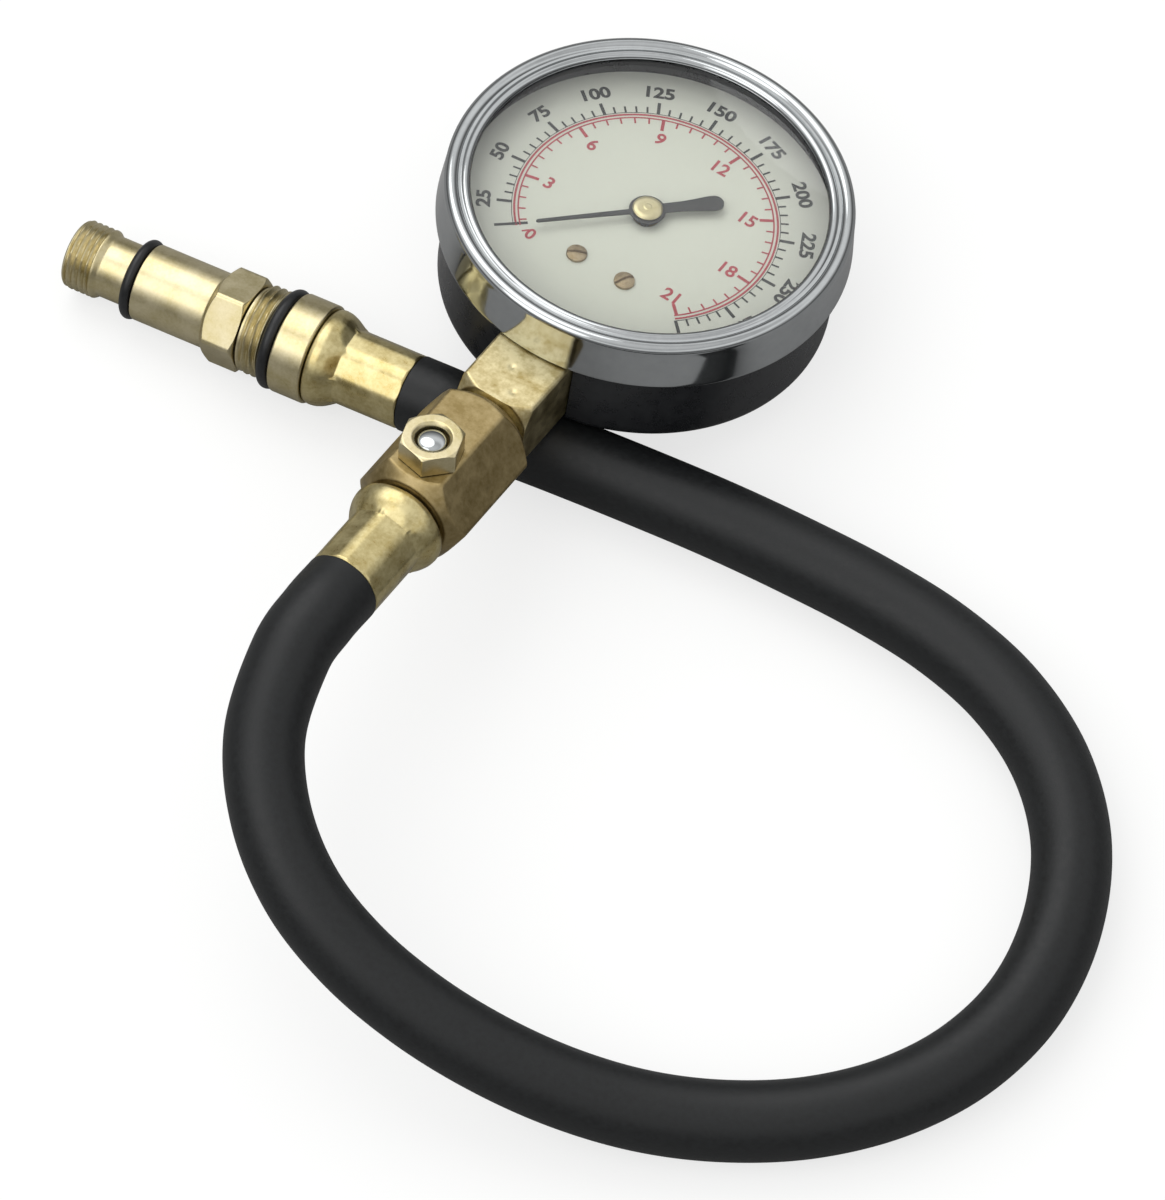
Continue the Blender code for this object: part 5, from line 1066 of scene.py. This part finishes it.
class GAUGE_OT_adapter(bpy.types.Operator):
    """The 14 mm adapter with its thread and hexagon, the small ring and the check valve"""

    bl_idname = "gauge.adapter"
    bl_label = "14 mm adapter"

    def execute(self, context):
        settings = context.scene.gauge_settings
        seat = SMALL_RING - 2 * SMALL_WIRE - 0.0002
        ring_place = ADAPTER_SHOULDER - 0.0013
        stub, stop = HEX_END + 0.0075, 0.0127
        crown = ADAPTER_FLATS / 2 * 1.18
        profile = np.array([
            (0.0021, stub), (0.0045, stub), (0.0050, stub - 0.0005), (0.0050, HEX_END), (0.0087, HEX_END),
            (crown, HEX_END - 0.0008), (crown, HEX_START + 0.0016), (0.0077, HEX_START),
            (0.0077, ADAPTER_SHOULDER), (seat, ADAPTER_SHOULDER), (seat, ring_place - 0.0011),
            (0.00615, ring_place - 0.0011), (0.00615, 0.0074), (TIP_THREAD_RADIUS, TIP_THREAD_END),
            (TIP_THREAD_RADIUS, 0.0007), (0.00625, 0.0), (0.0028, 0.0), (0.0028, stop), (0.0021, stop)])

        def shape(radius, height, angle):
            flats = flats_radius(angle, 6, ADAPTER_FLATS, ADAPTER_TURN)
            flats = np.minimum(flats, ADAPTER_FLATS / math.sqrt(3) - 0.00015)
            on_hex = (height > HEX_START - 0.0001) & (height < HEX_END + 0.0001) & (radius > 0.0070)
            radius = np.where(on_hex, lower_of(radius, flats, 0.00006), radius)
            cut = thread_depth(height, angle, settings.thread_14, 0.00062)
            cut = cut * within(height, 0.0004, 0.0062, 0.0004)
            return radius - np.where((radius > 0.0055) & (height < 0.0070), cut, 0.0), height

        curve = filled(softened(profile, min(settings.edge, 0.0003)), 0.00014)
        adapter = turned("adapter_14mm", curve, FITTING, 224, shape=shape, smooth_angle=45.0)
        dressed(adapter, "gauge", "turned_brass", "plug_adapter_14mm", slot="brass")
        rubber_ring("ring_small", SMALL_RING, SMALL_WIRE, ring_place, FITTING, "small_o_ring")

        start, end, chamber, guide = 0.0025, 0.0125, 0.00177, 0.0009
        shelf = end - 0.0030
        body = np.array([(chamber, start), (chamber, shelf), (guide, shelf), (guide, end), (0.00234, end),
                         (0.0026, end - 0.0003), (0.0026, start)])
        valve = turned("valve_core", softened(body, 0.00012), FITTING, 96)
        dressed(valve, "gauge", "turned_brass", "check_valve_body", slot="brass")
        foot = end + 0.0002
        stem, seal = 0.0007, chamber - 0.0002
        pin = np.array([
            (0.0, foot + 0.0012), (0.0012, foot + 0.0012), (0.0016, foot + 0.0006), (0.0016, foot),
            (stem, foot), (stem, start + 0.0009), (seal, start + 0.0009), (seal, start + 0.0003),
            (stem, start + 0.0003), (stem, start * 0.5), (0.0, start * 0.5)])
        curve = softened(pin, 0.00010, closed=False)
        pin_piece = turned("valve_pin_turned", curve, FITTING, 64, closed=False)
        dressed(pin_piece, "valve_pin", "turned_steel", "check_valve_pin", slot="steel")
        coil_spring("valve_coil", FITTING, 0.0012, start + 0.00118, shelf - 0.00028, 4.5, (0.00018, 10),
                    "check_valve_spring")
        return {"FINISHED"}


class GAUGE_OT_hose(bpy.types.Operator):
    """The rubber hose, from one ferrule's mouth round its loop to the other's"""

    bl_idname = "gauge.hose"
    bl_label = "Hose"

    def execute(self, context):
        settings = context.scene.hose_settings
        gauge_mouth = FERRULE_BASE + FERRULE_LENGTH
        plug_mouth = PLUG_FERRULE_BASE + FERRULE_LENGTH
        near, far = 0.0003, 0.0083
        leaving = moved(np.array([(0.0, 0.0, gauge_mouth + way) for way in (near, far)]), LINE)
        arriving = moved(np.array([(0.0, 0.0, plug_mouth + way) for way in (far, near)]), FITTING)
        path = smooth_route(np.concatenate([leaving, HOSE_ROUTE, arriving]), settings.rings)
        hose = carried("pressure_hose", path, (settings.radius, 56))
        dressed(hose, "gauge", "extruded_rubber", "hose", slot="rubber")
        return {"FINISHED"}


class GAUGE_OT_movement(bpy.types.Operator):
    """The finishes of the movement, the pressure tube and the other pieces inside the case"""

    bl_idname = "gauge.movement"
    bl_label = "Movement"

    def execute(self, context):
        for node in ("movement_back_plate", "movement_front_plate", "pillar_left", "pillar_right",
                     "sector_gear", "link", "tube_tip"):
            plated_node(node, "sheet_brass")
        for node in ("bourdon_tube", "hairspring"):
            plated_node(node, "phosphor_bronze")
        for node in ("pinion_arbor", "sector_arbor", "link_rivet", "movement_screw_left",
                     "movement_screw_right"):
            plated_node(node, "turned_steel")
        return {"FINISHED"}


class GAUGE_OT_stage(bpy.types.Operator):
    """The ground, the soft lamps, the pale surroundings and the camera"""

    bl_idname = "gauge.stage"
    bl_label = "Stage"

    def execute(self, context):
        settings = context.scene.stage_settings
        scene = context.scene
        scene.view_settings.view_transform = "Standard"

        corners = [(x * GROUND_REACH, y * GROUND_REACH, 0.0) for x, y in ((-1, -1), (1, -1), (1, 1), (-1, 1))]
        ground_mesh = bpy.data.meshes.new("ground")
        ground_mesh.from_pydata(corners, [], [(0, 1, 2, 3)])
        ground = bpy.data.objects.new("ground", ground_mesh)
        scene.collection.objects.link(ground)
        material, tree = new_material("matt_white_paper")
        ray = add_node(tree, "ShaderNodeLightPath")
        paper = (*settings.ground_colour, 1.0)
        colour = add_node(tree, "ShaderNodeMix", {"A": paper, "B": grey(GROUND_IN_REFLECTIONS)},
                          {"Factor": ray.outputs["Is Glossy Ray"]}, data_type="RGBA")
        shader = add_node(tree, "ShaderNodeBsdfDiffuse", links={"Color": colour.outputs["Result"]})
        glow = add_node(tree, "ShaderNodeEmission", {"Color": grey(1.0), "Strength": 1.0})
        lift = add_node(tree, "ShaderNodeMath", {1: settings.shadow_lift}, {0: ray.outputs["Is Camera Ray"]},
                        operation="MULTIPLY")
        surface = add_node(tree, "ShaderNodeMixShader", links={
            0: lift.outputs["Value"], 1: shader.outputs["BSDF"], 2: glow.outputs["Emission"]})
        add_node(tree, "ShaderNodeOutputMaterial", links={"Surface": surface.outputs["Shader"]})
        ground_mesh.materials.append(material)

        world = bpy.data.worlds.new("pale_studio")
        world.use_nodes = True
        tree = world.node_tree
        tree.nodes.clear()
        path = add_node(tree, "ShaderNodeLightPath")
        place = add_node(tree, "ShaderNodeTexCoord")
        parts = add_node(tree, "ShaderNodeSeparateXYZ", links={"Vector": place.outputs["Generated"]})
        shade = ramp(tree, parts.outputs["Z"], [(height, grey(value)) for height, value in SKY])
        seen = add_node(tree, "ShaderNodeBackground", {"Color": grey(1.0), "Strength": 1.0})
        light = add_node(tree, "ShaderNodeBackground", {"Strength": SKY_STRENGTH},
                         {"Color": shade.outputs["Color"]})
        mix = add_node(tree, "ShaderNodeMixShader",
                       links={0: path.outputs["Is Camera Ray"], 1: light.outputs["Background"],
                              2: seen.outputs["Background"]})
        add_node(tree, "ShaderNodeOutputWorld", links={"Surface": mix.outputs["Shader"]})
        scene.world = world

        for name, place, size, power in LAMPS:
            lamp = bpy.data.lights.new(name, "AREA")
            lamp.energy, lamp.size, lamp.shape = power * settings.lamp_power, size, "DISK"
            holder = bpy.data.objects.new(name, lamp)
            away = np.array(place) / np.linalg.norm(place)
            level = np.cross((0.0, 0.0, 1.0), away)
            level /= np.linalg.norm(level)
            holder.matrix_world = facing(level, np.cross(away, level), away, np.array(LAMP_TARGET) + place)
            scene.collection.objects.link(holder)

        azimuth, rise, roll = CAMERA_TURN, CAMERA_RISE, CAMERA_ROLL
        away = np.array([math.sin(azimuth) * math.cos(rise), -math.cos(azimuth) * math.cos(rise),
                         math.sin(rise)])
        level = np.array([math.cos(azimuth), math.sin(azimuth), 0.0])
        right = math.cos(roll) * level + math.sin(roll) * np.cross(away, level)
        up = np.cross(away, right)
        eye = np.array(CAMERA_TARGET) + CAMERA_DISTANCE * away
        camera = bpy.data.cameras.new("camera")
        camera.sensor_fit, camera.sensor_width = "HORIZONTAL", SENSOR_WIDTH
        camera.lens = FOCAL_PIXELS / PICTURE_WIDTH * SENSOR_WIDTH
        camera.clip_start, camera.clip_end = 0.05, 20.0
        holder = bpy.data.objects.new("camera", camera)
        holder.matrix_world = facing(right, up, away, eye)
        scene.collection.objects.link(holder)
        scene.camera = holder
        return {"FINISHED"}


def facing(right, up, away, place):
    """The place of a lamp or camera whose back points away, so that it looks the other way."""
    columns = np.eye(4)
    columns[:3, 0], columns[:3, 1], columns[:3, 2], columns[:3, 3] = right, up, away, place
    return Matrix(columns.tolist())


OPERATORS = [
    GAUGE_OT_stage, GAUGE_OT_case, GAUGE_OT_bezel, GAUGE_OT_lens, GAUGE_OT_dial, GAUGE_OT_screws,
    GAUGE_OT_pointer, GAUGE_OT_stem, GAUGE_OT_block, GAUGE_OT_release_valve, GAUGE_OT_fittings,
    GAUGE_OT_plug_fitting, GAUGE_OT_adapter, GAUGE_OT_hose, GAUGE_OT_movement,
]


SETTINGS = {"gauge_settings": GaugeSettings, "hose_settings": HoseSettings, "stage_settings": StageSettings}


class GAUGE_PT_sidebar(bpy.types.Panel):
    """Lists the gauge's sizes and its operators"""

    bl_idname = "GAUGE_PT_sidebar"
    bl_label = "Gauge"
    bl_space_type = "VIEW_3D"
    bl_region_type = "UI"
    bl_category = "Gauge"

    def draw(self, context):
        for name, group in SETTINGS.items():
            for word in group.__annotations__:
                self.layout.prop(getattr(context.scene, name), word)
        for operator in OPERATORS:
            self.layout.operator(operator.bl_idname)


CLASSES = [*SETTINGS.values(), *OPERATORS, GAUGE_PT_sidebar]


def register():
    """Registers the classes and puts the settings on the scene."""
    for item in CLASSES:
        bpy.utils.register_class(item)
    for name, group in SETTINGS.items():
        setattr(bpy.types.Scene, name, bpy.props.PointerProperty(type=group))


def unregister():
    """Takes the settings off the scene and the classes away."""
    for name in SETTINGS:
        delattr(bpy.types.Scene, name)
    for item in reversed(CLASSES):
        bpy.utils.unregister_class(item)


def main():
    """Registers the add-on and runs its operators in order."""
    register()
    for operator in OPERATORS:
        group, name = operator.bl_idname.split(".")
        if getattr(getattr(bpy.ops, group), name)() != {"FINISHED"}:
            raise RuntimeError(operator.bl_label + " didn't finish")


if __name__ == "__main__":
    main()
